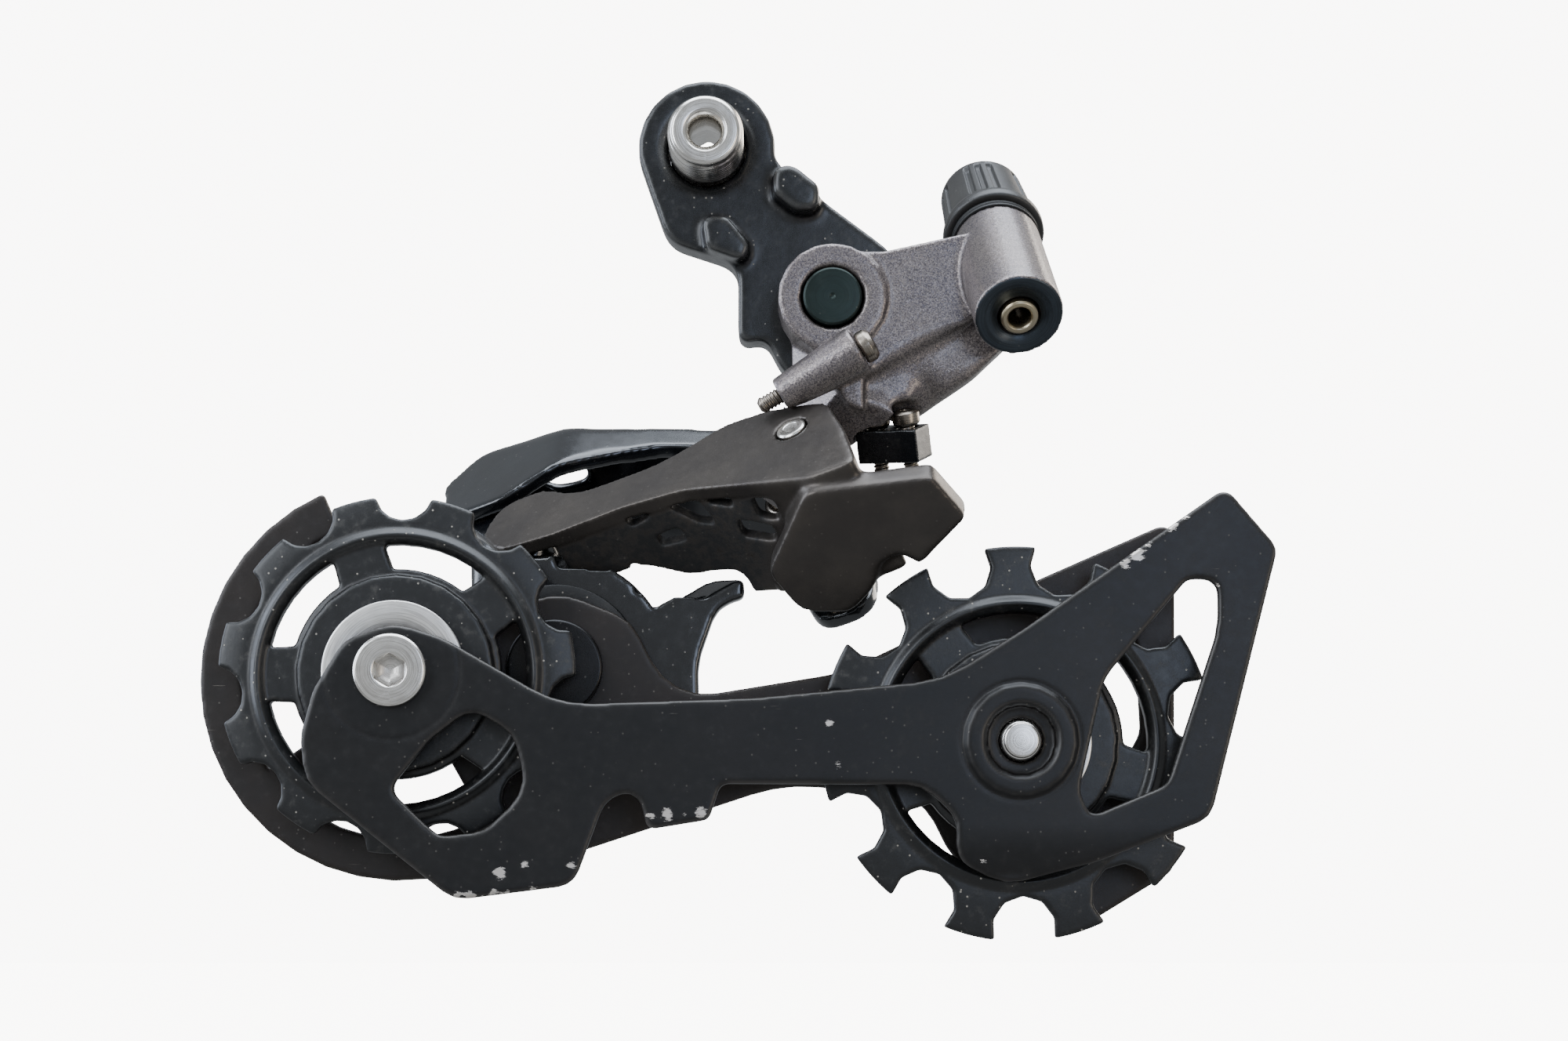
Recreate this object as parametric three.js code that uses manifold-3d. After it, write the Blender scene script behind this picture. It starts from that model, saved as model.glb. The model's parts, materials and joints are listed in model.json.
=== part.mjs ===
// Rear bicycle derailleur, millimetres, +Z up.
// The origin is on the hanger bolt's axis, at the bracket's face that seats on the frame's hanger.
// +X points to the back of the bicycle and +Y away from the wheel, so the wheel is on the -Y side.
import * as THREE from "three";
import { ConvexGeometry } from "three/addons/geometries/ConvexGeometry.js";
import { mergeVertices } from "three/addons/utils/BufferGeometryUtils.js";
import Module from "manifold-3d";

// ---- Driving dimensions ----
const GAP = 0.3; // running gap between pieces that touch or turn on each other
const CHAIN_PITCH = 12.7;
const WHEEL_TEETH = 11;
const HANGER_THREAD_R = 4.85; // M10 x 1
const BRACKET_T = 6.5;
const LINK_LENGTH = 38.05; // between the two pivots of each link
const LINK_SWING = 60; // degrees from the smallest sprocket to the largest
const PIN_R = 1.9;
const PLATE_T = 1.6; // cage plate

const B_AXLE = { x: 16.1, z: -21.2 }; // body on bracket
const P_AXLE = { x: -18.5, z: -68 }; // cage on knuckle
const GUIDE = { x: -37.4, z: -69.1 };
const TENSION = { x: 38.5, z: -77.5 };
const OUTER_PLATE_Y = -8.2; // wheel-side face of the outer plate
const INNER_PLATE_Y = -20.2; // wheel-side face of the inner plate
const WHEEL_Y = -13.4; // middle plane of both toothed wheels

// The links turn about the tilted direction PIVOT_DIR. B1 is the inner link's upper pivot point on the body.
const B1 = new THREE.Vector3(10.8, -13, -38.6);
const PIVOT_DIR = new THREE.Vector3(-0.42, -0.57, 0.71).normalize();
const LINK_DIR = new THREE.Vector3(-34.5, 11.5, -11.2);
const OUTER_FROM_INNER = new THREE.Vector3(-6.8, 12.6, 6.0);

// The cable stop's barrel: the centre of its lower face and the direction up to the knob.
const STOP_FACE = new THREE.Vector3(39, -16, -25);
const STOP_DIR = new THREE.Vector3(-0.1, 0.75, 0.65).normalize();
const STOP_R = 5.6;
const STOP_L = 18;

// ---- Helpers: solids ----
const wasm = await Module();
wasm.setup();

// A closed three.js geometry as a solid that can be joined and cut.
function solid(geometry) {
  const bare = geometry.clone();
  bare.deleteAttribute("normal");
  bare.deleteAttribute("uv");
  const merged = mergeVertices(bare, 1e-4);
  return new wasm.Manifold(
    new wasm.Mesh({
      numProp: 3,
      vertProperties: new Float32Array(merged.attributes.position.array),
      triVerts: new Uint32Array(merged.index.array),
    }),
  );
}

function geometryOf(manifold) {
  const mesh = manifold.getMesh();
  const geometry = new THREE.BufferGeometry();
  geometry.setAttribute("position", new THREE.BufferAttribute(mesh.vertProperties, 3));
  geometry.setIndex(new THREE.BufferAttribute(mesh.triVerts, 1));
  geometry.computeVertexNormals();
  return geometry;
}

const joined = (...solids) => solids.reduce((whole, piece) => whole.add(piece));
const cut = (whole, ...tools) => tools.reduce((rest, tool) => rest.subtract(tool), whole);

// The angle between points on an arc that keeps it within ARC_ERROR of the true one.
const ARC_ERROR = 0.1;
const arcStep = (radius) => 2 * Math.acos(1 - Math.min(ARC_ERROR / radius, 0.15));
const sidesFor = (radius) => Math.max(12, Math.ceil((2 * Math.PI) / arcStep(radius)));
const ORIGIN_2D = new THREE.Vector2();

// Corners of an outline along a round stretch, from one direction to another in degrees.
function arcCorners({ x, z }, radius, from, to) {
  const turn = THREE.MathUtils.degToRad(to - from);
  const steps = Math.ceil(Math.abs(turn) / arcStep(radius));
  return Array.from({ length: steps + 1 }, (_, k) => {
    const angle = THREE.MathUtils.degToRad(from) + (turn * k) / steps;
    return [x + radius * Math.cos(angle), z + radius * Math.sin(angle), 0];
  });
}

// A closed outline through [x, y, radius] corners, each rounded by a true arc of its radius.
function roundedOutline(corners) {
  const shape = new THREE.Shape();
  const count = corners.length;
  corners.forEach(([x, y, radius = 0], i) => {
    const corner = new THREE.Vector2(x, y);
    const before = new THREE.Vector2(...corners[(i + count - 1) % count]).sub(corner);
    const after = new THREE.Vector2(...corners[(i + 1) % count]).sub(corner);
    const half = Math.acos(before.clone().normalize().dot(after.clone().normalize())) / 2;
    const reach = Math.min(radius / Math.tan(half), 0.49 * before.length(), 0.49 * after.length());
    const fitted = reach * Math.tan(half);
    if (fitted < 0.05) {
      if (i === 0) shape.moveTo(x, y);
      else shape.lineTo(x, y);
      return;
    }
    const middle = before.clone().normalize().add(after.clone().normalize()).normalize();
    const centre = corner.clone().add(middle.multiplyScalar(fitted / Math.sin(half)));
    const from = corner.clone().add(before.clone().setLength(reach)).sub(centre);
    const to = corner.clone().add(after.clone().setLength(reach)).sub(centre);
    const turn = Math.atan2(from.cross(to), from.dot(to));
    const steps = Math.ceil(Math.abs(turn) / arcStep(fitted));
    for (let k = 0; k <= steps; k++) {
      const point = from.clone().rotateAround(ORIGIN_2D, (turn * k) / steps).add(centre);
      if (i === 0 && k === 0) shape.moveTo(point.x, point.y);
      else shape.lineTo(point.x, point.y);
    }
  });
  shape.closePath();
  return shape;
}

// An outline in x and z, as a plate from y0 to y1.
function plate(shape, y0, y1) {
  const geometry = new THREE.ExtrudeGeometry(shape, { depth: y1 - y0, bevelEnabled: false, curveSegments: 3 });
  geometry.rotateX(Math.PI / 2).translate(0, y1, 0);
  return solid(geometry);
}

// A cylinder along Y, at x and z, from y0 to y1.
function discY({ x, z }, radius, y0, y1) {
  const disc = new THREE.CylinderGeometry(radius, radius, y1 - y0, sidesFor(radius));
  return solid(disc.translate(x, (y0 + y1) / 2, z));
}

// A turned piece about the Y axis at x and z: [radius, y] points.
function turnedY({ x, z }, profile) {
  const points = profile.map(([radius, y]) => new THREE.Vector2(radius, y));
  const hollow = profile[0][0] > 0;
  if (hollow) points.push(points[0].clone());
  const sides = sidesFor(Math.max(...profile.map(([radius]) => radius)));
  const geometry = new THREE.LatheGeometry(points, sides);
  const made = solid(geometry);
  const outward = made.volume() > 0 ? made : solid(flipped(geometry));
  return outward.translate([x, 0, z]);
}

function flipped(geometry) {
  const turned = geometry.clone();
  const index = turned.index.array;
  for (let i = 0; i < index.length; i += 3) [index[i + 1], index[i + 2]] = [index[i + 2], index[i + 1]];
  return turned;
}

// A place for pieces whose own Y axis points along a direction.
function placeAlong(origin, direction, side = new THREE.Vector3(1, 0, 0)) {
  const y = direction.clone().normalize();
  const x = side.clone().addScaledVector(y, -side.dot(y)).normalize();
  const z = new THREE.Vector3().crossVectors(x, y);
  return new THREE.Matrix4().makeBasis(x, y, z).setPosition(origin);
}

const moved = (piece, matrix) => piece.transform(matrix.elements);
const ON_AXIS = { x: 0, z: 0 };

// A round wire or cord bent along a curve.
function wire(curve, radius, steps, sides = 6) {
  const section = new THREE.Shape();
  for (let i = 0; i < sides; i++) {
    const angle = (2 * Math.PI * i) / sides;
    if (i === 0) section.moveTo(radius, 0);
    else section.lineTo(radius * Math.cos(angle), radius * Math.sin(angle));
  }
  section.closePath();
  return solid(new THREE.ExtrudeGeometry(section, { steps, bevelEnabled: false, extrudePath: curve }));
}

class Helix extends THREE.Curve {
  constructor(radius, y0, y1, turns) {
    super();
    Object.assign(this, { radius, y0, y1, turns });
  }
  getPoint(t, target = new THREE.Vector3()) {
    const angle = 2 * Math.PI * this.turns * t;
    const y = this.y0 + (this.y1 - this.y0) * t;
    return target.set(this.radius * Math.cos(angle), y, this.radius * Math.sin(angle));
  }
}

// ---- The links' own frame: x from body pivot to knuckle pivot, z up the pins, y to the wheel side ----
LINK_DIR.addScaledVector(PIVOT_DIR, -LINK_DIR.dot(PIVOT_DIR)).normalize();
OUTER_FROM_INNER.addScaledVector(PIVOT_DIR, -OUTER_FROM_INNER.dot(PIVOT_DIR));
const ACROSS_DIR = new THREE.Vector3().crossVectors(PIVOT_DIR, LINK_DIR);
const linkFrame = (origin) => new THREE.Matrix4().makeBasis(LINK_DIR, ACROSS_DIR, PIVOT_DIR).setPosition(origin);
const INNER_FRAME = linkFrame(B1);
// The outer link's pivots seen in the inner link's frame.
const OUTER_X = OUTER_FROM_INNER.dot(LINK_DIR);
const OUTER_Y = OUTER_FROM_INNER.dot(ACROSS_DIR);
const BODY_PIVOTS = { inner: [0, 0], outer: [OUTER_X, OUTER_Y] };
const KNUCKLE_PIVOTS = { inner: [LINK_LENGTH, 0], outer: [LINK_LENGTH + OUTER_X, OUTER_Y] };

// An outline in the link frame's x and y, as a plate from z0 to z1.
function ear(shape, z0, z1) {
  const geometry = new THREE.ExtrudeGeometry(shape, { depth: z1 - z0, bevelEnabled: false });
  return solid(geometry.translate(0, 0, z0));
}

// A round post along the pins.
function post([x, y], radius, z0, z1) {
  const round = new THREE.CylinderGeometry(radius, radius, z1 - z0, sidesFor(radius)).rotateX(Math.PI / 2);
  return solid(round.translate(x, y, (z0 + z1) / 2));
}

// A lug with two round ends.
function capsule([ax, ay], [bx, by], radius, z0, z1) {
  const points = [];
  for (const [x, y] of [[ax, ay], [bx, by]]) {
    for (let i = 0; i < 20; i++) {
      const angle = (2 * Math.PI * i) / 20;
      for (const z of [z0, z1]) {
        points.push(new THREE.Vector3(x + radius * Math.cos(angle), y + radius * Math.sin(angle), z));
      }
    }
  }
  return solid(new ConvexGeometry(points));
}

// The space that a piece of a link needs as it turns about a pin by the given angles in degrees.
function swept(piece, [x, y], angles) {
  return joined(...angles.map((angle) => piece.translate([-x, -y, 0]).rotate([0, 0, angle]).translate([x, y, 0])));
}
const SWING_STEPS = [0, 15, 30, 45, LINK_SWING];

const nodes = new THREE.Group();
function node(name, piece, look) {
  const mesh = new THREE.Mesh(geometryOf(piece), new THREE.MeshStandardMaterial(look));
  mesh.name = name;
  nodes.add(mesh);
}

// ---- Looks ----
const BLACK_CASTING = { color: 0x1b1c1e, roughness: 0.45, metalness: 0.3 };
const GREY_PAINT = { color: 0x5c5a61, roughness: 0.42, metalness: 0.6 };
const GREY_ANODISED = { color: 0x6b6a6b, roughness: 0.5, metalness: 0.7 };
const GUNMETAL = { color: 0x4a4a50, roughness: 0.25, metalness: 0.8 };
const BLACK_PLATE = { color: 0x1c1b1c, roughness: 0.6, metalness: 0.4 };
const BLACK_NYLON = { color: 0x222221, roughness: 0.7, metalness: 0 };
const SILVER = { color: 0xc9c7c2, roughness: 0.25, metalness: 1 };
const STEEL = { color: 0x8f8a84, roughness: 0.4, metalness: 1 };
const BRASS = { color: 0xa88f5f, roughness: 0.4, metalness: 1 };
const BLACK_PLASTIC = { color: 0x232325, roughness: 0.5, metalness: 0 };
const RUBBER = { color: 0x161616, roughness: 0.85, metalness: 0 };

// ---- Bracket: the cast link between the frame's hanger and the body ----
const HEAD_R = 8.9;
const BRACKET_OUTLINE = [
  ...arcCorners(ON_AXIS, HEAD_R, 190, -8), [10.4, -3.4, 3], [24.6, -14.2, 6], [26.5, -24, 8],
  [20.5, -31.6, 7], [11, -31.6, 6], [7.6, -25, 1.5], [4.1, -25.9, 1.2], [4.1, -15.4, 3],
  [-5, -12.4, 4],
];
function hangerBracket() {
  const body = plate(roundedOutline(BRACKET_OUTLINE), 0, BRACKET_T);
  const upperTab = [[8.6, -3.4, 1.2], [11.2, -3.2, 1.2], [14.6, -6, 1.2], [14.4, -9.2, 1.2], [11.4, -9.2, 1.2],
    [8.5, -6.9, 1.2]];
  const lowerTab = [[-0.6, -9.8, 1], [2.7, -9.8, 1], [5.6, -13.4, 1.2], [5.1, -15.8, 1], [0, -14, 1]];
  return cut(
    joined(body, plate(roundedOutline(upperTab), -4.5, 1), plate(roundedOutline(lowerTab), -4, 1)),
    discY(ON_AXIS, HANGER_THREAD_R + GAP, -1, BRACKET_T + 1),
    discY(ON_AXIS, 5.9, -1, 0.5),
    discY(B_AXLE, 5.3, -1, BRACKET_T + 1),
  );
}
node("hanger_bracket", hangerBracket(), BLACK_CASTING);

function hangerBolt() {
  const turned = turnedY(ON_AXIS, [
    [2.1, -8.9], [2.8, -9.5], [4.3, -9.5], [HANGER_THREAD_R, -9], [HANGER_THREAD_R, 7.8], [7.6, 7.8],
    [7.6, 10.6], [6.8, 11.4], [2.1, 11.4],
  ]);
  const socket = solid(new THREE.CylinderGeometry(2.9, 2.9, 5, 6)).translate([0, 9.5, 0]);
  return cut(turned, socket);
}
node("hanger_bolt", hangerBolt(), SILVER);
node("bolt_washer", turnedY(ON_AXIS, [[5.2, 6.8], [8.2, 6.8], [8.2, 7.5], [5.2, 7.5]]), STEEL);

// ---- Body: pivots on the bracket, and carries the cable stop and both links ----
const BODY_FACE_Y = -8.6;
const BODY_BACK_Y = -0.4;
const STOP_PLACE = placeAlong(STOP_FACE, STOP_DIR);
const ANGLE_SCREW_TIP = new THREE.Vector3(6.9, -9, -35.4);
const ANGLE_SCREW_HEAD = new THREE.Vector3(21.3, -10.6, -27.3);
const ANGLE_SCREW_DIR = ANGLE_SCREW_HEAD.clone().sub(ANGLE_SCREW_TIP).normalize();
const ANGLE_SCREW_L = ANGLE_SCREW_HEAD.distanceTo(ANGLE_SCREW_TIP);
const ANGLE_SCREW_PLACE = placeAlong(ANGLE_SCREW_TIP, ANGLE_SCREW_DIR);
const CLAMP = { x: -12.8, z: -9.2 }; // the cable clamp's place on the inner link's arm
const LIMIT_SCREW_DIR = new THREE.Vector3(-0.12, -0.3, 0.94).normalize();
const LIMIT_SCREWS = {
  limit_screw_high: new THREE.Vector3(26.3, -2.4, -43),
  limit_screw_low: new THREE.Vector3(22.6, -0.4, -43),
};
const LIMIT_SCREW_L = 8.4;
const limitScrewPlace = (tip) => placeAlong(tip, LIMIT_SCREW_DIR);
function limitBlockPlace() {
  const [high, low] = Object.values(LIMIT_SCREWS);
  return placeAlong(high.clone().add(low).multiplyScalar(0.5), LIMIT_SCREW_DIR, high.clone().sub(low));
}
const LUG_TOP = -2.4; // lugs lie between the ears of a link
const BODY_LUG_BOTTOM = -15;
const OUTER_LINK_H = 36;
const OUTER_EAR_TOP = -9; // the outer link's upper ear sits this much lower at the body than at the knuckle
const OUTER_LUG_TOP = OUTER_EAR_TOP - 2.4;
const INNER_LINK_H = 17;

function screwBoss() {
  const boss = new THREE.CylinderGeometry(3.3, 2.2, 11.4, 24).translate(0, 3 + 11.4 / 2, 0);
  return moved(solid(boss), ANGLE_SCREW_PLACE);
}

function bodyNeck() {
  const points = [];
  for (let i = 0; i < 16; i++) {
    const angle = (2 * Math.PI * i) / 16;
    const lug = new THREE.Vector3(OUTER_X + 3.4 * Math.cos(angle), OUTER_Y + 3.4 * Math.sin(angle), OUTER_LUG_TOP - 0.2);
    points.push(lug.clone().applyMatrix4(INNER_FRAME));
    points.push(lug.clone().setZ(BODY_LUG_BOTTOM + 2).applyMatrix4(INNER_FRAME));
    points.push(new THREE.Vector3(B_AXLE.x + 5 * Math.cos(angle), -1, B_AXLE.z - 2 + 5 * Math.sin(angle)));
  }
  points.push(new THREE.Vector3(25, -1, -35), new THREE.Vector3(25, -7, -36), new THREE.Vector3(17, -7, -33));
  return solid(new ConvexGeometry(points));
}

// The inner link's upper ear, seen along its pivots.
const innerEarOutline = () => roundedOutline([
  [43.6, -1.6, 3], [41.6, -7.4, 3.4], [35.4, -7.6, 4], [30.2, -3.3, 8], [18.5, -3.2, 12], [9.4, -7, 5],
  [3.4, -6.6, 4], [-4.6, -3.6, 4], [-7.2, 4, 3], [-9.3, 13.2, 1], [-2.9, 13.2, 4], [14.6, 5.2, 12],
  [23, 4.1, 6], [33, 4.4, 3], [40.6, 3.6, 4],
]);

function bodyCasting() {
  const arm = roundedOutline([
    [13, -15.2, 2], [22.5, -15.3, 1], [33.7, -12.8, 3], [40.5, -12.3, 3], [43.2, -20, 3], [39.5, -25.5, 2],
    [34, -31, 2], [25.5, -37, 2], [18, -35, 2], [13, -27, 2],
  ]);
  const stopCut = [
    moved(solid(new THREE.CylinderGeometry(2.7, 2.7, STOP_L + 4, 24).translate(0, STOP_L / 2, 0)), STOP_PLACE),
  ];
  const barrel = solid(new THREE.CylinderGeometry(STOP_R, STOP_R, STOP_L, 36).translate(0, STOP_L / 2, 0));
  const pocket = roundedOutline([
    [27, -27.6, 1], [33.5, -24.2, 2], [36, -21.6, 1], [50, -21.6, 0], [50, -42, 0], [20, -42, 0], [20, -31.5, 1],
  ]);
  const whole = joined(
    discY(B_AXLE, 6.9, BODY_FACE_Y, BODY_BACK_Y),
    cut(plate(arm, BODY_FACE_Y + 0.6, BODY_BACK_Y), plate(pocket, BODY_FACE_Y - 1, BODY_FACE_Y + 2.2)),
    moved(barrel, STOP_PLACE),
    screwBoss(),
    moved(capsule(BODY_PIVOTS.inner, BODY_PIVOTS.outer, 3.5, BODY_LUG_BOTTOM, LUG_TOP), INNER_FRAME),
    bodyNeck(),
  );
  const earRoom = ear(innerEarOutline(), LUG_TOP + 0.05, 0.45);
  const outerRoom = post(BODY_PIVOTS.outer, 6.2, OUTER_LUG_TOP + 0.05, 6);
  const outerEarRoom = solid(new THREE.BoxGeometry(9, 9, 2.8)).translate([OUTER_X + 4.5, OUTER_Y - 5, OUTER_EAR_TOP - 1]);
  const wallRoom = solid(new THREE.BoxGeometry(30, 7, 22).translate(-4, 10.4 + 3.5, -11));
  const outerWallRoom = solid(new THREE.BoxGeometry(28, 7, 40)).translate([OUTER_X + 9, OUTER_Y - 9.3, -18]);
  const clampRoom = solid(new THREE.BoxGeometry(9, 4, 9)).translate([CLAMP.x, 9.2, CLAMP.z]);
  const limitScrewRoom = Object.values(LIMIT_SCREWS).map((tip) =>
    moved(solid(new THREE.CylinderGeometry(2.2, 2.2, LIMIT_SCREW_L + 2, 16).translate(0, LIMIT_SCREW_L / 2, 0)),
      placeAlong(tip, LIMIT_SCREW_DIR)));
  const blockRoom = moved(solid(new THREE.BoxGeometry(9, 5, 5).translate(0, 4.1, 0)), limitBlockPlace());
  return cut(
    whole,
    blockRoom,
    discY(B_AXLE, 4.05, BODY_FACE_Y - 1, BODY_BACK_Y + 1),
    ...stopCut,
    moved(solid(new THREE.CylinderGeometry(1.35, 1.35, 24, 16).translate(0, 8, 0)), ANGLE_SCREW_PLACE),
    moved(swept(earRoom, BODY_PIVOTS.inner, SWING_STEPS), INNER_FRAME),
    moved(swept(wallRoom, BODY_PIVOTS.inner, SWING_STEPS), INNER_FRAME),
    moved(outerRoom, INNER_FRAME),
    moved(post(BODY_PIVOTS.inner, PIN_R + GAP, -20, 2), INNER_FRAME),
    moved(post(BODY_PIVOTS.outer, PIN_R + GAP, -40, 2), INNER_FRAME),
    ...limitScrewRoom,
    discY(B_AXLE, 13.4, BODY_BACK_Y, 20),
    moved(solid(new THREE.CylinderGeometry(9, 9, 18, 24).translate(0, STOP_L + 9.05, 0)), STOP_PLACE),
    moved(swept(outerWallRoom, BODY_PIVOTS.outer, SWING_STEPS), INNER_FRAME),
    moved(swept(outerEarRoom, BODY_PIVOTS.outer, SWING_STEPS), INNER_FRAME),
    moved(swept(clampRoom, BODY_PIVOTS.inner, SWING_STEPS), INNER_FRAME),
  );
}
node("body_casting", bodyCasting(), GREY_PAINT);

node("b_axle", turnedY(B_AXLE, [
  [0, -9], [3.7, -9], [3.7, 7.2], [3.2, 7.2], [3.2, 9.6], [0, 9.6],
]), { color: 0x2c3432, roughness: 0.35, metalness: 0.6 });
node("b_axle_bush", turnedY(B_AXLE, [[4, 0.1], [5, 0.1], [5, 6.3], [4, 6.3]]), BRASS);
node("b_axle_cap", turnedY(B_AXLE, [
  [3.5, 7.5], [8.6, 6.8], [8.6, 8.2], [7, 9.8], [3.5, 9.8],
]), BLACK_CASTING);

function angleScrew() {
  const headAt = ANGLE_SCREW_L - 2;
  const profile = [
    [0, 0], [1.05, 0], [1.05, headAt], [2.1, headAt], [2.1, headAt + 0.9], [1.5, headAt + 1.7], [0, headAt + 2],
  ];
  return moved(turnedY(ON_AXIS, profile), ANGLE_SCREW_PLACE);
}
node("angle_screw", angleScrew(), STEEL);

function limitScrewBlock() {
  const tips = Object.values(LIMIT_SCREWS);
  const block = new THREE.BoxGeometry(8.4, 4.2, 4.4).translate(0, 4.1, 0);
  const holes = tips.map((tip) =>
    moved(solid(new THREE.CylinderGeometry(1.35, 1.35, 14, 16).translate(0, 4, 0)), limitScrewPlace(tip)));
  return cut(moved(solid(block), limitBlockPlace()), ...holes);
}

function limitScrew(tip) {
  const headAt = LIMIT_SCREW_L - 1.9;
  const profile = [
    [0, 0], [1, 0], [1, headAt], [1.75, headAt], [1.75, headAt + 1.3], [1.3, LIMIT_SCREW_L], [0, LIMIT_SCREW_L],
  ];
  return moved(turnedY(ON_AXIS, profile), limitScrewPlace(tip));
}
for (const [name, tip] of Object.entries(LIMIT_SCREWS)) node(name, limitScrew(tip), STEEL);
node("limit_screw_block", limitScrewBlock(), BLACK_PLASTIC);

// ---- Cable stop and barrel adjuster, along the stop's own axis ----
const KNOB_BOTTOM = STOP_L + 1.6;
const KNOB_TOP = KNOB_BOTTOM + 12.2;
const alongStop = (profile) => moved(turnedY(ON_AXIS, profile), STOP_PLACE);
node("cable_stop_insert", alongStop([[1.4, -0.7], [2.35, -0.7], [2.35, 5], [1.4, 5]]), BRASS);
node("adjuster_core", alongStop([
  [1.2, 6], [2.3, 6], [2.3, KNOB_TOP - 3], [1.2, KNOB_TOP - 3],
]), STEEL);
node("adjuster_gasket", alongStop([
  [3.2, STOP_L + 0.2], [5.7, STOP_L + 0.2], [5.7, STOP_L + 1.3], [3.2, STOP_L + 1.3],
]), RUBBER);
node("adjuster_knob", alongStop([
  [4.6, KNOB_BOTTOM], [6.5, KNOB_BOTTOM], [6.6, KNOB_BOTTOM + 1.4], [5.9, KNOB_BOTTOM + 3], [5.3, KNOB_TOP - 1],
  [4.6, KNOB_TOP], [2.7, KNOB_TOP], [2.7, KNOB_BOTTOM + 8], [4.6, KNOB_BOTTOM + 8],
]), BLACK_PLASTIC);
const adjusterSpring = wire(new Helix(3.5, KNOB_BOTTOM + 0.9, KNOB_BOTTOM + 7.2, 5), 0.35, 45, 5);
node("adjuster_spring", moved(adjusterSpring, STOP_PLACE), STEEL);

// ---- Pivot pins and the spring that pushes the links out ----
node("inner_body_pin", moved(post(BODY_PIVOTS.inner, PIN_R, -INNER_LINK_H - 0.2, 0.15), INNER_FRAME), SILVER);
node("outer_body_pin", moved(post(BODY_PIVOTS.outer, PIN_R, -OUTER_LINK_H - 0.2, OUTER_EAR_TOP + 0.15), INNER_FRAME), SILVER);
const springPlace = INNER_FRAME.clone().multiply(
  new THREE.Matrix4().makeTranslation(OUTER_X, OUTER_Y, 0)).multiply(new THREE.Matrix4().makeRotationX(-Math.PI / 2));
node("return_spring", moved(wire(new Helix(3.2, 16.4, 33, 8), 0.7, 72), springPlace), STEEL);

// ---- Inner link: a flat ear on top, a pierced wall on the wheel side and the cable arm ----
const KNUCKLE_EAR_Z = [-8.8, -6.9]; // the inner link's lower ear at the knuckle
const ARM_Y = [10.9, 14.6];
const HEX_HOLES = [ // the wall's openings: x and z of their corners
  [[20.3, -0.9], [23.6, -1.8], [23.3, -3.4], [20.2, -2.6]],
  [[17.6, -5.2], [20.8, -5.6], [21, -7.2], [17.2, -7.4]],
  [[13.2, -2.2], [15.6, -0.6], [17.6, -2], [14.6, -5.4], [12.4, -6]],
  [[8.6, -1.2], [11.8, -0.9], [12.2, -2.6], [8.8, -3.6]],
  [[3.2, -3], [6, -2.4], [6.2, -5.6], [3.6, -6.2]],
  [[5.2, -7], [9.4, -5.4], [9.8, -8.2], [5.6, -9.4]],
];

const innerKnuckleEar = () => roundedOutline([
  [42, 4, 3.9], [42, -3.9, 3.9], [34.2, -3.9, 3.9], [31, 2, 1], [26, 2.2, 0], [26, 4.2, 0], [33, 4.2, 1],
]);

function innerWall() {
  const strip = roundedOutline([
    [-9, 13.1, 1], [-2.9, 13.1, 4], [14.6, 5.1, 12], [23, 4, 6], [33.4, 4.3, 1], [33.4, 2.2, 0],
    [22.6, 1.9, 6], [14, 3.2, 12], [-3.4, 11, 4], [-9, 11, 1],
  ]);
  const wall = ear(strip, -INNER_LINK_H, -1);
  const under = roundedOutline([[50, -30, 0], [12.5, -30, 0], [12.5, -13.4, 2], [19.5, -12.4, 4], [31, -4.6, 3],
    [50, -4.6, 0]]);
  const holes = HEX_HOLES.map((corners) => acrossLink(roundedOutline(corners.map(([x, z]) => [x, z, 0.5])), -2, 20));
  return cut(wall, acrossLink(under, -5, 25), ...holes);
}

// An outline in the link frame's x and z, as a plate from y0 to y1.
function acrossLink(shape, y0, y1) {
  const geometry = new THREE.ExtrudeGeometry(shape, { depth: y1 - y0, bevelEnabled: false });
  geometry.rotateX(Math.PI / 2).translate(0, y1, 0);
  return solid(geometry);
}

function innerLink() {
  const lowerEar = roundedOutline([
    [-4, -4, 4], [4, -4, 4], [7.5, 4, 3], [9.5, 8, 1], [-2.6, 13, 3], [-6, 13, 1], [-6.5, 4, 3],
  ]);
  const bridge = roundedOutline([[33.4, 4.3, 0.4], [33.4, 2.2, 0], [27, 2.1, 0], [27, 4.1, 0]]);
  const arm = roundedOutline([
    [-17, -5, 0.6], [-18.6, -12, 0.6], [-10.6, -16.4, 0.6], [-9, -13.8, 0.6], [-6.4, -14.2, 1.5], [-4, -17.4, 2],
    [0, -19.4, 2], [5.6, -16.8, 3], [7, -10, 2], [-2, -1, 2],
  ]);
  return cut(
    joined(
      ear(innerEarOutline(), -2, 0),
      innerWall(),
      ear(lowerEar, -INNER_LINK_H, -INNER_LINK_H + 1.8),
      ear(bridge, KNUCKLE_EAR_Z[0], -1),
      ear(innerKnuckleEar(), ...KNUCKLE_EAR_Z),
      acrossLink(arm, ...ARM_Y),
    ),
    post(BODY_PIVOTS.inner, PIN_R + GAP, -20, 2),
    post(KNUCKLE_PIVOTS.inner, PIN_R + GAP, -20, -0.8),
    acrossLink(roundedOutline([[-14, -8, 1], [-11.6, -8, 1], [-11.6, -10.4, 1], [-14, -10.4, 1]]), 9, 13.6),
  );
}
node("inner_link", moved(innerLink(), INNER_FRAME), GREY_ANODISED);

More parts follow.
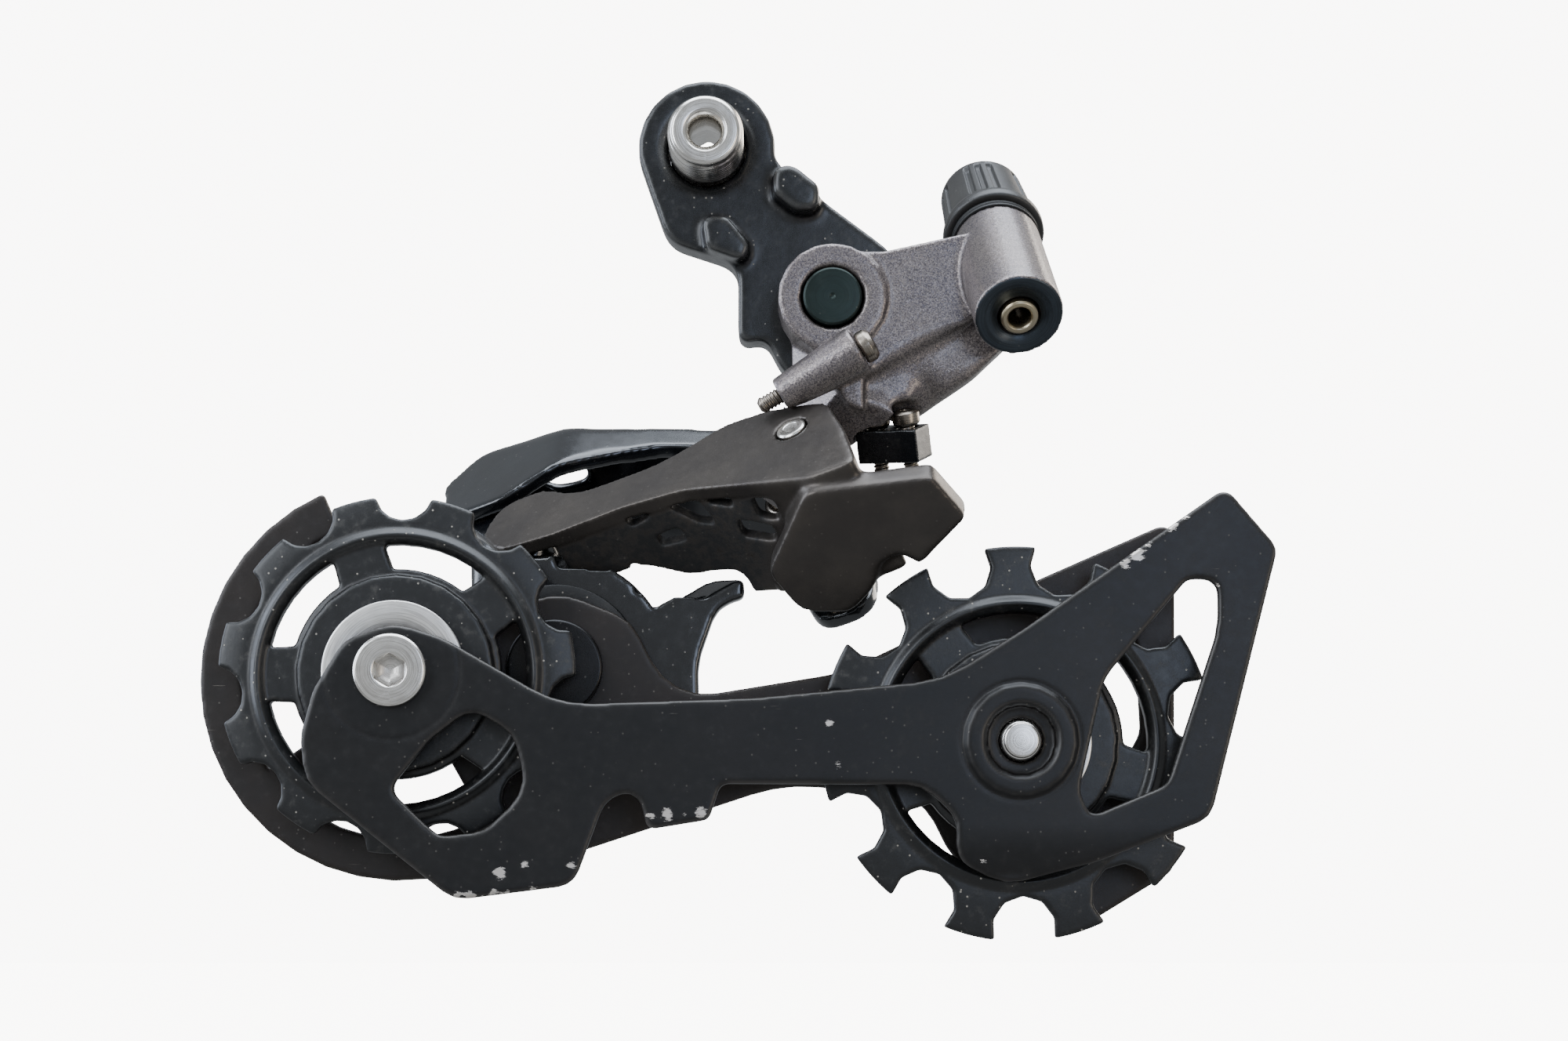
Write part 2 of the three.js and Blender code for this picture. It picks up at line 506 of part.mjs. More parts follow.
function clampBolt() {
  const turned = turnedY(ON_AXIS, [
    [0, 8], [3, 8], [3, 9.6], [0.95, 9.6], [0.95, 13.2], [0, 13.2],
  ]).translate([CLAMP.x, 0, CLAMP.z]);
  const socket = solid(new THREE.CylinderGeometry(1.4, 1.4, 2, 6)).translate([CLAMP.x, 8, CLAMP.z]);
  return cut(turned, socket);
}
function clampPlate() {
  const outline = roundedOutline([[-16.2, -6, 1], [-9.4, -6, 1], [-9.4, -12.4, 1], [-16.2, -12.4, 1]]);
  const hole = solid(new THREE.CylinderGeometry(1.3, 1.3, 6, 16)).translate([CLAMP.x, 10, CLAMP.z]);
  return cut(acrossLink(outline, 9.8, 10.6), hole);
}
node("cable_clamp_bolt", moved(clampBolt(), INNER_FRAME), STEEL);
node("cable_clamp_plate", moved(clampPlate(), INNER_FRAME), STEEL);
node("inner_knuckle_pin", moved(post(KNUCKLE_PIVOTS.inner, PIN_R, -9, -1.1), INNER_FRAME), SILVER);

// ---- Outer link: a deep shell on the side away from the wheel ----
const KNUCKLE_LUG_BOTTOM = -13.4;
function outerLink() {
  const top = roundedOutline([
    [7, -5, 1], [14, -5, 4], [20, -2.8, 8], [34, 4, 3], [42.2, 4, 3.9], [43.4, -5, 5], [38.5, -10.4, 5],
    [20, -9.6, 20], [7, -9.6, 1],
  ]);
  const roof = roundedOutline([
    [60, 0, 0], [26, 0, 6], [7, OUTER_EAR_TOP, 4], [-10, OUTER_EAR_TOP, 0], [-10, OUTER_EAR_TOP - 2, 0],
    [7.6, OUTER_EAR_TOP - 2, 5], [26.5, -2, 6], [60, -2, 0],
  ]);
  const above = roundedOutline([
    [60, 0, 0], [26, 0, 6], [7, OUTER_EAR_TOP, 4], [-10, OUTER_EAR_TOP, 0], [-10, 5, 0], [60, 5, 0],
  ]);
  const strip = roundedOutline([
    [43.4, -3, 0], [43.4, -5, 5], [38.5, -10.4, 5], [20, -9.6, 20], [-1, -9.6, 3], [-1.6, -7.6, 1],
    [20, -7.6, 20], [37.6, -8.2, 4], [41.5, -4.8, 3], [41.6, -3, 0],
  ]);
  const lower = roundedOutline([[-4, 4, 3.9], [4, 4, 3.9], [7.5, -6, 3], [8.5, -9.5, 0.5], [-1, -9.5, 3], [-4, -4, 3]]);
  const knuckleEar = roundedOutline([
    [34, 4, 3.9], [42.2, 4, 3.9], [43.2, -5, 4], [38.5, -10, 5], [31, -9.6, 0.5], [33, -5, 3],
  ]);
  const under = roundedOutline([[60, -50, 0], [8.5, -50, 0], [8.5, -31, 6], [30, -16, 6], [60, -16, 0]]);
  const window = roundedOutline([[27, -3.4, 1], [33.5, -3.4, 1], [31.5, -8, 1], [26, -8.6, 1]]);
  return cut(
    joined(
      ear(top, -20, 1).intersect(acrossLink(roof, -20, 6)),
      cut(
        ear(strip, -OUTER_LINK_H, 0),
        acrossLink(above, -20, 5),
        acrossLink(under, -20, 5),
        acrossLink(window, -20, -7),
      ),
      ear(lower, OUTER_EAR_TOP - 2, OUTER_EAR_TOP),
      ear(lower, -OUTER_LINK_H, -OUTER_LINK_H + 2),
      ear(knuckleEar, -16, -14),
    ),
    post([0, 0], PIN_R + GAP, -40, 2),
    post([LINK_LENGTH, 0], PIN_R + GAP, -20, -0.8),
  ).translate([OUTER_X, OUTER_Y, 0]);
}
node("outer_link", moved(outerLink(), INNER_FRAME), GUNMETAL);
node("outer_knuckle_pin", moved(post(KNUCKLE_PIVOTS.outer, PIN_R, -16.2, -1.1), INNER_FRAME), SILVER);

// ---- Knuckle: the barrel that holds the cage's axle and spring ----
const BARREL = { near: -4.6, far: 14, radius: 14.4, cavity: 10 };
function knuckleBridge() {
  const points = [];
  for (let i = 0; i < 16; i++) {
    const angle = (2 * Math.PI * i) / 16;
    const [x, y] = [KNUCKLE_PIVOTS.outer[0] + 3.4 * Math.cos(angle), KNUCKLE_PIVOTS.outer[1] + 3.4 * Math.sin(angle)];
    points.push(new THREE.Vector3(x, y, -5).applyMatrix4(INNER_FRAME));
    points.push(new THREE.Vector3(x, y, KNUCKLE_LUG_BOTTOM).applyMatrix4(INNER_FRAME));
  }
  for (const degrees of [30, 60, 90, 120, 150]) {
    const angle = THREE.MathUtils.degToRad(degrees);
    for (const y of [5, BARREL.far]) {
      points.push(new THREE.Vector3(P_AXLE.x + 13.5 * Math.cos(angle), y, P_AXLE.z + 13.5 * Math.sin(angle)));
    }
  }
  return solid(new ConvexGeometry(points));
}

// The raised band that runs up the barrel's rear side and away under the inner link.
function knuckleBand() {
  const outline = roundedOutline([
    [-5.4, -80, 2], [-0.6, -76, 4], [-0.8, -67, 6], [1.6, -60, 4], [5, -58.9, 0.5], [5, -56.6, 0.5],
    [0, -56.4, 6], [-6, -60, 3], [-10, -64, 1], [-10, -74, 1],
  ]);
  return plate(outline, BARREL.near, -1.2);
}

const STOP_ANGLES = { knuckle: -62, pin: -79 }; // degrees round the cage's axle
const STOP_RADIUS = 16.6;
function roundP(degrees) {
  const angle = THREE.MathUtils.degToRad(degrees);
  return { x: P_AXLE.x + STOP_RADIUS * Math.cos(angle), z: P_AXLE.z + STOP_RADIUS * Math.sin(angle) };
}

function pKnuckle() {
  const whole = joined(
    discY(P_AXLE, BARREL.radius, BARREL.near, BARREL.far),
    moved(capsule(KNUCKLE_PIVOTS.inner, KNUCKLE_PIVOTS.outer, 3.4, -6.5, LUG_TOP), INNER_FRAME),
    moved(post(KNUCKLE_PIVOTS.outer, 3.5, KNUCKLE_LUG_BOTTOM, LUG_TOP), INNER_FRAME),
    knuckleBridge(),
    knuckleBand(),
    discY(roundP(STOP_ANGLES.knuckle), 2.4, BARREL.near, 3),
  );
  const topRoom = ear(innerEarOutline(), LUG_TOP + 0.05, 1);
  const lowRoom = joined(
    post(KNUCKLE_PIVOTS.inner, 4.6, -9.6, -6.55),
    ear(innerKnuckleEar(), -9.2, -6.55),
    solid(new THREE.BoxGeometry(14, 5.4, 3.4)).translate([31, 2.4, -8.1]),
  );
  const wallRoom = solid(new THREE.BoxGeometry(22, 4.2, 12)).translate([23, 3.2, -3.4]);
  const wallFootRoom = solid(new THREE.BoxGeometry(18, 7, 13)).translate([17, 3.5, -8.4]);
  const outerWallRoom = ear(roundedOutline([
    [3.3, -2.7, 0], [6, -2.7, 0], [5.8, -7, 4], [1, -11, 4], [-22, -10.4, 0], [-22, -7, 0], [-0.8, -7.4, 3],
  ]), -17, 1).translate([...KNUCKLE_PIVOTS.outer, 0]);
  const outerTopRoom = post(KNUCKLE_PIVOTS.outer, 4.6, LUG_TOP + 0.05, 4);
  const outerLowRoom = solid(new THREE.CylinderGeometry(5, 5, 8, 24).rotateX(Math.PI / 2))
    .translate([...KNUCKLE_PIVOTS.outer, KNUCKLE_LUG_BOTTOM - 4.2]);
  return cut(
    whole,
    discY(P_AXLE, BARREL.cavity, BARREL.near - 1, 11.5),
    discY(P_AXLE, 4.4, 10, BARREL.far + 1),
    moved(swept(topRoom, KNUCKLE_PIVOTS.inner, SWING_STEPS), INNER_FRAME),
    moved(swept(lowRoom, KNUCKLE_PIVOTS.inner, SWING_STEPS), INNER_FRAME),
    moved(swept(wallRoom, KNUCKLE_PIVOTS.inner, SWING_STEPS), INNER_FRAME),
    moved(swept(wallFootRoom, KNUCKLE_PIVOTS.inner, SWING_STEPS), INNER_FRAME),
    moved(swept(outerWallRoom, KNUCKLE_PIVOTS.outer, SWING_STEPS), INNER_FRAME),
    moved(joined(outerTopRoom, outerLowRoom), INNER_FRAME),
    discY(P_AXLE, 8.2, BARREL.far, 30),
    moved(post(KNUCKLE_PIVOTS.inner, PIN_R + GAP, -10, 2), INNER_FRAME),
    moved(post(KNUCKLE_PIVOTS.outer, PIN_R + GAP, -18, 2), INNER_FRAME),
  );
}
node("p_knuckle", pKnuckle(), BLACK_CASTING);

node("cage_spring", wire(new Helix(7.6, -2.4, 10, 6), 0.9, 66).translate([P_AXLE.x, 0, P_AXLE.z]), STEEL);
node("p_bush", turnedY(P_AXLE, [[4.25, -3.6], [5.6, -3.6], [5.6, 11.2], [4.25, 11.2]]), BRASS);
node("p_axle", turnedY(P_AXLE, [
  [0, -9.2], [6, -9.2], [6, -8.5], [3.95, -8.5], [3.95, 16.2], [2.6, 17], [0, 17],
]), SILVER);
node("p_seal", turnedY(P_AXLE, [[4.25, -6.2], [10.6, -6.2], [10.6, -5], [4.25, -5]]), RUBBER);
node("p_cap", turnedY(P_AXLE, [[4.2, 14.3], [7.4, 14.3], [7.4, 15.3], [6.6, 16], [4.2, 16]]), BLACK_CASTING);

// ---- Cage: two plates with a toothed wheel at each end ----
const GUARD_R = 25.2; // the outer plate's round guard about the guide wheel
const OUTER_OUTLINE = [
  ...arcCorners(GUIDE, GUARD_R, 114, 268), [-24, -93.6, 20], [10, -82.4, 20],
  [27, -84, 6], [31, -92, 6], [47.6, -99.4, 1.5], [58.2, -93, 2], [58.8, -49.4, 1.5], [42, -56.8, 6],
  [17, -68.6, 14], [-4, -72, 8], [-9, -62, 6], [-18, -58.4, 8], [-27, -61.5, 5], [-36, -63, 5],
  [-42.5, -62.5, 2], [-45, -52, 2],
];
// An opening between two radii and two directions round a point, in degrees.
function ringSector({ x, z }, inner, outer, from, to) {
  const [start, end] = [THREE.MathUtils.degToRad(from), THREE.MathUtils.degToRad(to)];
  const shape = new THREE.Shape();
  shape.absarc(x, z, outer, start, end, false);
  shape.absarc(x, z, inner, end, start, true);
  shape.closePath();
  return shape;
}

function cageOuterPlate() {
  const window = [[45, -66, 3], [53.4, -60, 2], [54.2, -76, 2], [49.8, -84, 3], [46, -82, 2]];
  const windows = [roundedOutline(window), ringSector(GUIDE, 11, 20, 105, 215), ringSector(GUIDE, 11, 20, 238, 300)];
  return cut(
    plate(roundedOutline(OUTER_OUTLINE), OUTER_PLATE_Y, OUTER_PLATE_Y + PLATE_T),
    ...windows.map((shape) => plate(shape, OUTER_PLATE_Y - 1, OUTER_PLATE_Y + PLATE_T + 1)),
    discY(P_AXLE, 4.25, -10, 0),
    discY(GUIDE, 2.75, -10, 0),
    discY(TENSION, 2.75, -10, 0),
    discY(roundP(STOP_ANGLES.pin), 1.4, -10, 0),
  );
}
node("cage_outer_plate", cageOuterPlate(), BLACK_PLATE);

const INNER_OUTLINE = [
  [-46.8, -71.5, 3], [-43.2, -65.4, 4], [-37.2, -63.2, 6], [-31, -65.2, 8], [-17, -73.2, 14], [6.2, -72.4, 20],
  [29, -70.2, 14], [39, -64, 10], [63.6, -46.8, 1.5], [69.8, -54.2, 2], [61.2, -86.8, 3], [47.5, -92, 8],
  [36.5, -94.8, 6], [30.6, -91.8, 3], [30.8, -86.6, 4], [26.4, -82.8, 5], [2.4, -82.7, 1], [1, -87, 1],
  [-6.4, -88.2, 1], [-7.6, -83.4, 3], [-11.4, -84.4, 4], [-15.2, -94.8, 3], [-29.5, -96.6, 4], [-47.6, -82.4, 5],
  [-48.2, -77, 4],
];
const INNER_WINDOWS = [
  [[-37.4, -83.4, 1.5], [-32.6, -77.4, 3], [-27.7, -73.6, 3], [-22.6, -76.6, 4], [-20.8, -83.4, 5],
    [-26, -88.4, 4], [-31.4, -89, 2]],
  [[58.8, -58, 1], [62.5, -58, 2], [62.4, -64, 8], [56, -82.8, 2], [46.8, -86.6, 1], [45.4, -83.6, 3],
    [48.6, -70, 6]],
];
function cageInnerPlate() {
  return cut(
    joined(
      plate(roundedOutline(INNER_OUTLINE), INNER_PLATE_Y, INNER_PLATE_Y + PLATE_T),
      discY(TENSION, 6.7, INNER_PLATE_Y - 0.5, INNER_PLATE_Y + 0.1),
    ),
    ...INNER_WINDOWS.map((corners) => plate(roundedOutline(corners), INNER_PLATE_Y - 1, INNER_PLATE_Y + 3)),
    discY(TENSION, 4.2, INNER_PLATE_Y - 1, INNER_PLATE_Y + 0.4),
    discY(GUIDE, 2.75, -30, -10),
    discY(TENSION, 2.75, -30, -10),
  );
}
node("cage_inner_plate", cageInnerPlate(), BLACK_PLATE);
node("cage_stop_pin", turnedY(roundP(STOP_ANGLES.pin), [
  [0, -8.2], [1.1, -8.2], [1.1, -6.4], [1.6, -6.4], [1.6, -2.4], [0, -2.4],
]), STEEL);

function guideBolt() {
  const turned = turnedY(GUIDE, [
    [0, -21.7], [4.4, -21.7], [4.4, -20.5], [2.45, -20.5], [2.45, -6.8], [0, -6.8],
  ]);
  return cut(turned, solid(new THREE.CylinderGeometry(1.75, 1.75, 4, 6)).translate([GUIDE.x, -21.6, GUIDE.z]));
}
function tensionBolt() {
  const turned = turnedY(TENSION, [
    [0, -21.3], [2.1, -21.3], [2.45, -20.9], [2.45, -6.3], [4.4, -6.3], [4.4, -5.1], [0, -5.1],
  ]);
  return cut(turned, solid(new THREE.CylinderGeometry(1.75, 1.75, 4, 6)).translate([TENSION.x, -5.2, TENSION.z]));
}
node("guide_bolt", guideBolt(), SILVER);
node("tension_bolt", tensionBolt(), SILVER);

// A toothed wheel's outline: the valleys take the chain's rollers at the pitch circle.
const PITCH_R = CHAIN_PITCH / 2 / Math.sin(Math.PI / WHEEL_TEETH);
function wheelOutline(tipR, rollerR, firstDegrees) {
  const shape = new THREE.Shape();
  const step = (2 * Math.PI) / WHEEL_TEETH;
  const side = Math.acos((PITCH_R ** 2 + tipR ** 2 - rollerR ** 2) / (2 * PITCH_R * tipR));
  for (let i = 0; i < WHEEL_TEETH; i++) {
    const valley = THREE.MathUtils.degToRad(firstDegrees) + (i + 0.5) * step;
    const [x, y] = [PITCH_R * Math.cos(valley), PITCH_R * Math.sin(valley)];
    const from = Math.atan2(tipR * Math.sin(valley - side) - y, tipR * Math.cos(valley - side) - x);
    const to = Math.atan2(tipR * Math.sin(valley + side) - y, tipR * Math.cos(valley + side) - x);
    if (i === 0) shape.moveTo(tipR * Math.cos(valley - side), tipR * Math.sin(valley - side));
    shape.absarc(x, y, rollerR, from, to, true);
    shape.absarc(0, 0, tipR, valley + side, valley + step - side, false);
  }
  shape.closePath();
  return shape;
}

function toothedWheel(axis, tipR, rollerR, firstDegrees) {
  const blank = plate(wheelOutline(tipR, rollerR, firstDegrees), -1.2, 1.2);
  const slots = [];
  for (let i = 0; i < 5; i++) {
    const mid = THREE.MathUtils.degToRad(firstDegrees + 72 * i);
    const slot = new THREE.Shape();
    slot.absarc(0, 0, 15.9, mid - 0.42, mid + 0.42, false);
    slot.absarc(0, 0, 12.9, mid + 0.36, mid - 0.36, true);
    slot.closePath();
    slots.push(plate(slot, -4, 4));
  }
  const hub = discY(ON_AXIS, 12, -2.6, 2.6);
  return cut(joined(blank, hub), ...slots, discY(ON_AXIS, 4.7, -4, 4)).translate([axis.x, WHEEL_Y, axis.z]);
}
node("guide_wheel", toothedWheel(GUIDE, 21.9, 3.6, 72.2), BLACK_NYLON);
node("tension_wheel", toothedWheel(TENSION, 24.1, 3.9, 91.7), BLACK_NYLON);
for (const [name, axis] of Object.entries({ guide: GUIDE, tension: TENSION })) {
  node(name + "_bush", turnedY(axis, [[2.75, -17], [4.4, -17], [4.4, -9.8], [2.75, -9.8]]), STEEL);
  node(name + "_inner_cap", turnedY(axis, [[2.75, -18.2], [8.7, -18.2], [8.7, -17.3], [2.75, -17.3]]), SILVER);
  node(name + "_outer_cap", turnedY(axis, [[2.75, -9.5], [8.7, -9.5], [8.7, -8.6], [2.75, -8.6]]), SILVER);
}

export default nodes;
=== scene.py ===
# Rear bicycle derailleur, seen from its wheel side: the looks built round the CAD frame.
# Shapes are worked out in millimetres and put into the scene in metres.
import bpy
import bmesh
import json
import math
import numpy as np
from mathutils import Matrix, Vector


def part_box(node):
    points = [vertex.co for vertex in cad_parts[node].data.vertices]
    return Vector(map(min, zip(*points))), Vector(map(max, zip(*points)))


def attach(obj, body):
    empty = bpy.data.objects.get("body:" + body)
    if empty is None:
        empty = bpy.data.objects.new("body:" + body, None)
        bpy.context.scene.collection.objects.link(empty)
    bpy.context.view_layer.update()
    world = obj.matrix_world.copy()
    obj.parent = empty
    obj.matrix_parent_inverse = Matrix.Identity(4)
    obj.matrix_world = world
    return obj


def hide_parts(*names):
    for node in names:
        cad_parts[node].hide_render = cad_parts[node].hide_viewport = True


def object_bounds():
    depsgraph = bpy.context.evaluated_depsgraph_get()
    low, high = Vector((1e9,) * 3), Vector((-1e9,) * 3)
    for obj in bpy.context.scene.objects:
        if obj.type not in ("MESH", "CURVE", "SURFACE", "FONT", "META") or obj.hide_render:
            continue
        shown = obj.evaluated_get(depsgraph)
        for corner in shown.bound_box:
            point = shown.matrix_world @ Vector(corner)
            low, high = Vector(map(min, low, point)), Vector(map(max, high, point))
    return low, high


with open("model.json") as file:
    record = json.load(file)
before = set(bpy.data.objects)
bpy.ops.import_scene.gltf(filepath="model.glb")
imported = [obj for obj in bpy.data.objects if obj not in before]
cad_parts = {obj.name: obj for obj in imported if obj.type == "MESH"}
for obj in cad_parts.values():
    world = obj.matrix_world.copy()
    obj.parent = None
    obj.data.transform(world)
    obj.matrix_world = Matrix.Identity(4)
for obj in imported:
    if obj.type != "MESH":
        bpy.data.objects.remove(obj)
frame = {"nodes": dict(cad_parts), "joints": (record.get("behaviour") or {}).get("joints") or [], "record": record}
cad_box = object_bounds()
MM = 0.001
IN_MM = (1000, 1000, 1000)  # the scale that turns metres into millimetres
record = frame["record"]
BODY_OF = {node: body for body, nodes in record["behaviour"]["bodies"].items() for node in nodes}
JOINTS = {joint["name"]: joint for joint in frame["joints"]}

# ---------------------------------------------------------------- camera, light and floor
camera = bpy.data.objects.new("camera", bpy.data.cameras.new("camera"))
bpy.context.scene.collection.objects.link(camera)
bpy.context.scene.camera = camera
LOOK_UP = 6.5  # degrees
camera.location = (0.010, -0.3974, -0.0939)
camera.rotation_euler = (math.radians(90 + LOOK_UP), 0, 0)
camera.data.lens = 72
camera.data.sensor_width = 36
camera.data.clip_start = 0.01


def linear(hex_colour):
    """An sRGB hex colour as linear RGBA."""
    channels = [int(hex_colour[i:i + 2], 16) / 255 for i in (0, 2, 4)]
    return tuple(c / 12.92 if c <= 0.04045 else ((c + 0.055) / 1.055) ** 2.4 for c in channels) + (1.0,)


def add(tree, kind, inputs=None, **settings):
    """Adds a node with its settings, its input values and its links."""
    made = tree.nodes.new(kind)
    for key, value in settings.items():
        setattr(made, key, value)
    for key, value in (inputs or {}).items():
        if isinstance(value, bpy.types.NodeSocket):
            tree.links.new(value, made.inputs[key])
        else:
            made.inputs[key].default_value = value
    return made


def softbox(name, place, aim, width, height, power, colour):
    lamp = bpy.data.lights.new(name, "AREA")
    lamp.shape = "RECTANGLE"
    lamp.size = width
    lamp.size_y = height
    lamp.energy = power
    lamp.color = linear(colour)[:3]
    stand = bpy.data.objects.new(name, lamp)
    stand.location = place
    stand.rotation_euler = (Vector(aim) - Vector(place)).to_track_quat("-Z", "Y").to_euler()
    bpy.context.scene.collection.objects.link(stand)


CENTRE = (0.0, -0.01, -0.05)
softbox("overhead_softbox", (0.05, -0.10, 0.55), CENTRE, 0.75, 0.60, 11.0, "eaf3ff")
softbox("front_left_softbox", (-0.50, -0.50, 0.18), CENTRE, 0.40, 0.50, 4.6, "eef5ff")
softbox("back_right_softbox", (0.55, 0.45, 0.25), CENTRE, 0.45, 0.45, 4.0, "fff6ea")
softbox("left_softbox", (-0.62, 0.02, 0.12), CENTRE, 0.28, 0.60, 4.2, "e2edff")
softbox("front_right_softbox", (0.24, -0.92, 0.09), CENTRE, 0.30, 0.34, 1.3, "d2e2ff")
softbox("low_right_softbox", (0.45, -0.42, -0.10), CENTRE, 0.18, 0.30, 0.7, "fff2e2")

world = bpy.data.worlds.new("studio")
bpy.context.scene.world = world
world.use_nodes = True
sky = world.node_tree
sky.nodes.clear()
seen = add(sky, "ShaderNodeLightPath")
plain = add(sky, "ShaderNodeBackground", {"Color": linear("fffdfb"), "Strength": 9.0})
fill = add(sky, "ShaderNodeBackground", {"Color": linear("eef3f8"), "Strength": 0.55})
either = add(sky, "ShaderNodeMixShader", {0: seen.outputs["Is Camera Ray"], 1: fill.outputs[0], 2: plain.outputs[0]})
add(sky, "ShaderNodeOutputWorld", {"Surface": either.outputs[0]})


# ---------------------------------------------------------------- materials
def ramp(tree, value, low, high):
    """Turns a value into 0 below low and 1 above high, with a smooth step between."""
    made = add(tree, "ShaderNodeMapRange", {"Value": value, "From Min": low, "From Max": high},
               interpolation_type="SMOOTHSTEP")
    return made.outputs["Result"]


def maths(tree, operation, a, b=0.0, clamp=False):
    return add(tree, "ShaderNodeMath", {0: a, 1: b}, operation=operation, use_clamp=clamp).outputs[0]


def blend(tree, share, a, b):
    """Mixes two colours. The Mix node keeps its colour sockets at 6 and 7, and its colour result at 2."""
    return add(tree, "ShaderNodeMix", {0: share, 6: a, 7: b}, data_type="RGBA").outputs[2]


def between(tree, share, a, b):
    """Mixes two numbers. The Mix node keeps its number sockets at 2 and 3, and its number result at 0."""
    return add(tree, "ShaderNodeMix", {0: share, 2: a, 3: b}, data_type="FLOAT").outputs[0]


def noise(tree, where, per_mm, detail=3.0, rough=0.55, seed=0.0):
    sizes = {"Vector": where, "W": seed, "Scale": per_mm, "Detail": detail, "Roughness": rough}
    return add(tree, "ShaderNodeTexNoise", sizes, noise_dimensions="4D").outputs["Fac"]


def surface(name, colour, tint, rough, metallic=0.0, coat=0.0, under="9a9a98", wear=0.0, grime="1c1712",
            dirt=0.5, dust=0.0, grain=(0.4, 0.006), rings=0.0, flakes=0.0, scratches=0.0, waves=0.0):
    """A used surface: colour with cloudy variation, a fine grain, worn edges showing what is under it and a painted
    highlight on their crests, grime in the hollows (painted shade on undersides marked as such), dust specks and
    fine scratches. Sizes are in millimetres on the real part."""
    material = bpy.data.materials.new(name)
    material.use_nodes = True
    tree = material.node_tree
    tree.nodes.clear()
    place = add(tree, "ShaderNodeTexCoord").outputs["Object"]
    mm = add(tree, "ShaderNodeMapping", {"Vector": place, "Scale": IN_MM}).outputs[0]
    edge = add(tree, "ShaderNodeAttribute", attribute_name="edge").outputs["Fac"]
    hollow = add(tree, "ShaderNodeAttribute", attribute_name="hollow").outputs["Fac"]
    scuff = add(tree, "ShaderNodeAttribute", attribute_name="scuff").outputs["Fac"]

    clouds = noise(tree, mm, 0.11, 4.0, 0.6)
    smears = noise(tree, mm, 0.9, 5.0, 0.65, 3.0)
    look = blend(tree, ramp(tree, clouds, 0.35, 0.68), linear(colour), linear(tint))

    fine = noise(tree, mm, 1.0 / grain[0], 2.0, 0.5, 7.0)
    height = maths(tree, "MULTIPLY", fine, grain[1])
    if waves:
        height = maths(tree, "ADD", height, maths(tree, "MULTIPLY", noise(tree, mm, 0.22, 2.0, 0.5, 11.0), waves))
    if rings:
        turning = add(tree, "ShaderNodeAttribute", attribute_name="turning").outputs["Vector"]
        marks = add(tree, "ShaderNodeMapping", {"Vector": turning, "Scale": (1.0, 1.0, 0.02)}).outputs[0]
        cuts = noise(tree, marks, 9.0, 2.0, 0.7)
        height = maths(tree, "ADD", height, maths(tree, "MULTIPLY", cuts, rings))
        look = blend(tree, maths(tree, "MULTIPLY", ramp(tree, cuts, 0.45, 0.62), 0.35), look, linear(grime))

    # scratches: stretched noise in two directions, kept to a few patches
    marked = 0.0
    if scratches:
        lines = None
        for turn, seed in ((0.9, 21.0), (-0.7, 35.0)):
            draw = {"Vector": mm, "Rotation": (0, turn, 0), "Scale": (0.16, 0.5, 9.0)}
            stretched = add(tree, "ShaderNodeMapping", draw).outputs[0]
            thin = ramp(tree, noise(tree, stretched, 1.0, 1.0, 0.4, seed), 0.765, 0.79)
            lines = thin if lines is None else maths(tree, "MAXIMUM", lines, thin)
        patches = ramp(tree, noise(tree, mm, 0.07, 2.0, 0.5, 5.0), 0.55, 0.66)
        marked = maths(tree, "MULTIPLY", maths(tree, "MULTIPLY", lines, patches), scratches)

    # worn edges: the sharper the edge and the higher the noise, the more of it is bare
    rough_edge = maths(tree, "MULTIPLY", edge, 1.15)
    chips = maths(tree, "ADD", rough_edge, maths(tree, "MULTIPLY", noise(tree, mm, 0.55, 5.0, 0.7, 9.0), 1.1))
    bare_and_sheen = maths(tree, "MULTIPLY", ramp(tree, chips, 1.92 - 0.55 * wear, 1.99 - 0.55 * wear), 1.0 if wear else 0.0)
    # rubbed places: the noise is drawn out along the rub
    rub = {"Vector": mm, "Rotation": (0, 0.25, 0), "Scale": (0.7, 1.2, 2.2)}
    streak = add(tree, "ShaderNodeMapping", rub).outputs[0]
    rubbed = maths(tree, "ADD", scuff, maths(tree, "MULTIPLY", noise(tree, streak, 1.0, 6.0, 0.8, 13.0), 1.1))
    bare_and_sheen = maths(tree, "MAXIMUM", bare_and_sheen, ramp(tree, rubbed, 1.16, 1.2))
    bare_and_sheen = maths(tree, "MAXIMUM", bare_and_sheen, marked)
    # the very crest of every edge takes the under colour: a little real polish, and a painted edge highlight
    bare_and_sheen = maths(tree, "MAXIMUM", bare_and_sheen, maths(tree, "MULTIPLY", maths(tree, "POWER", edge, 3.0), 0.5 * wear))

    # dust specks about a quarter of a millimetre across
    points = add(tree, "ShaderNodeTexVoronoi", {"Vector": mm, "Scale": 1.3, "Randomness": 1.0})
    chance = ramp(tree, add(tree, "ShaderNodeSeparateColor", {0: points.outputs["Color"]}).outputs[0], 0.80, 0.82)
    specks = maths(tree, "MULTIPLY", ramp(tree, points.outputs["Distance"], 0.20, 0.11), chance)
    film = maths(tree, "MULTIPLY", ramp(tree, smears, 0.52, 0.78), 0.10)
    dusty = maths(tree, "MULTIPLY", maths(tree, "MAXIMUM", maths(tree, "MULTIPLY", specks, 0.9), film), dust)

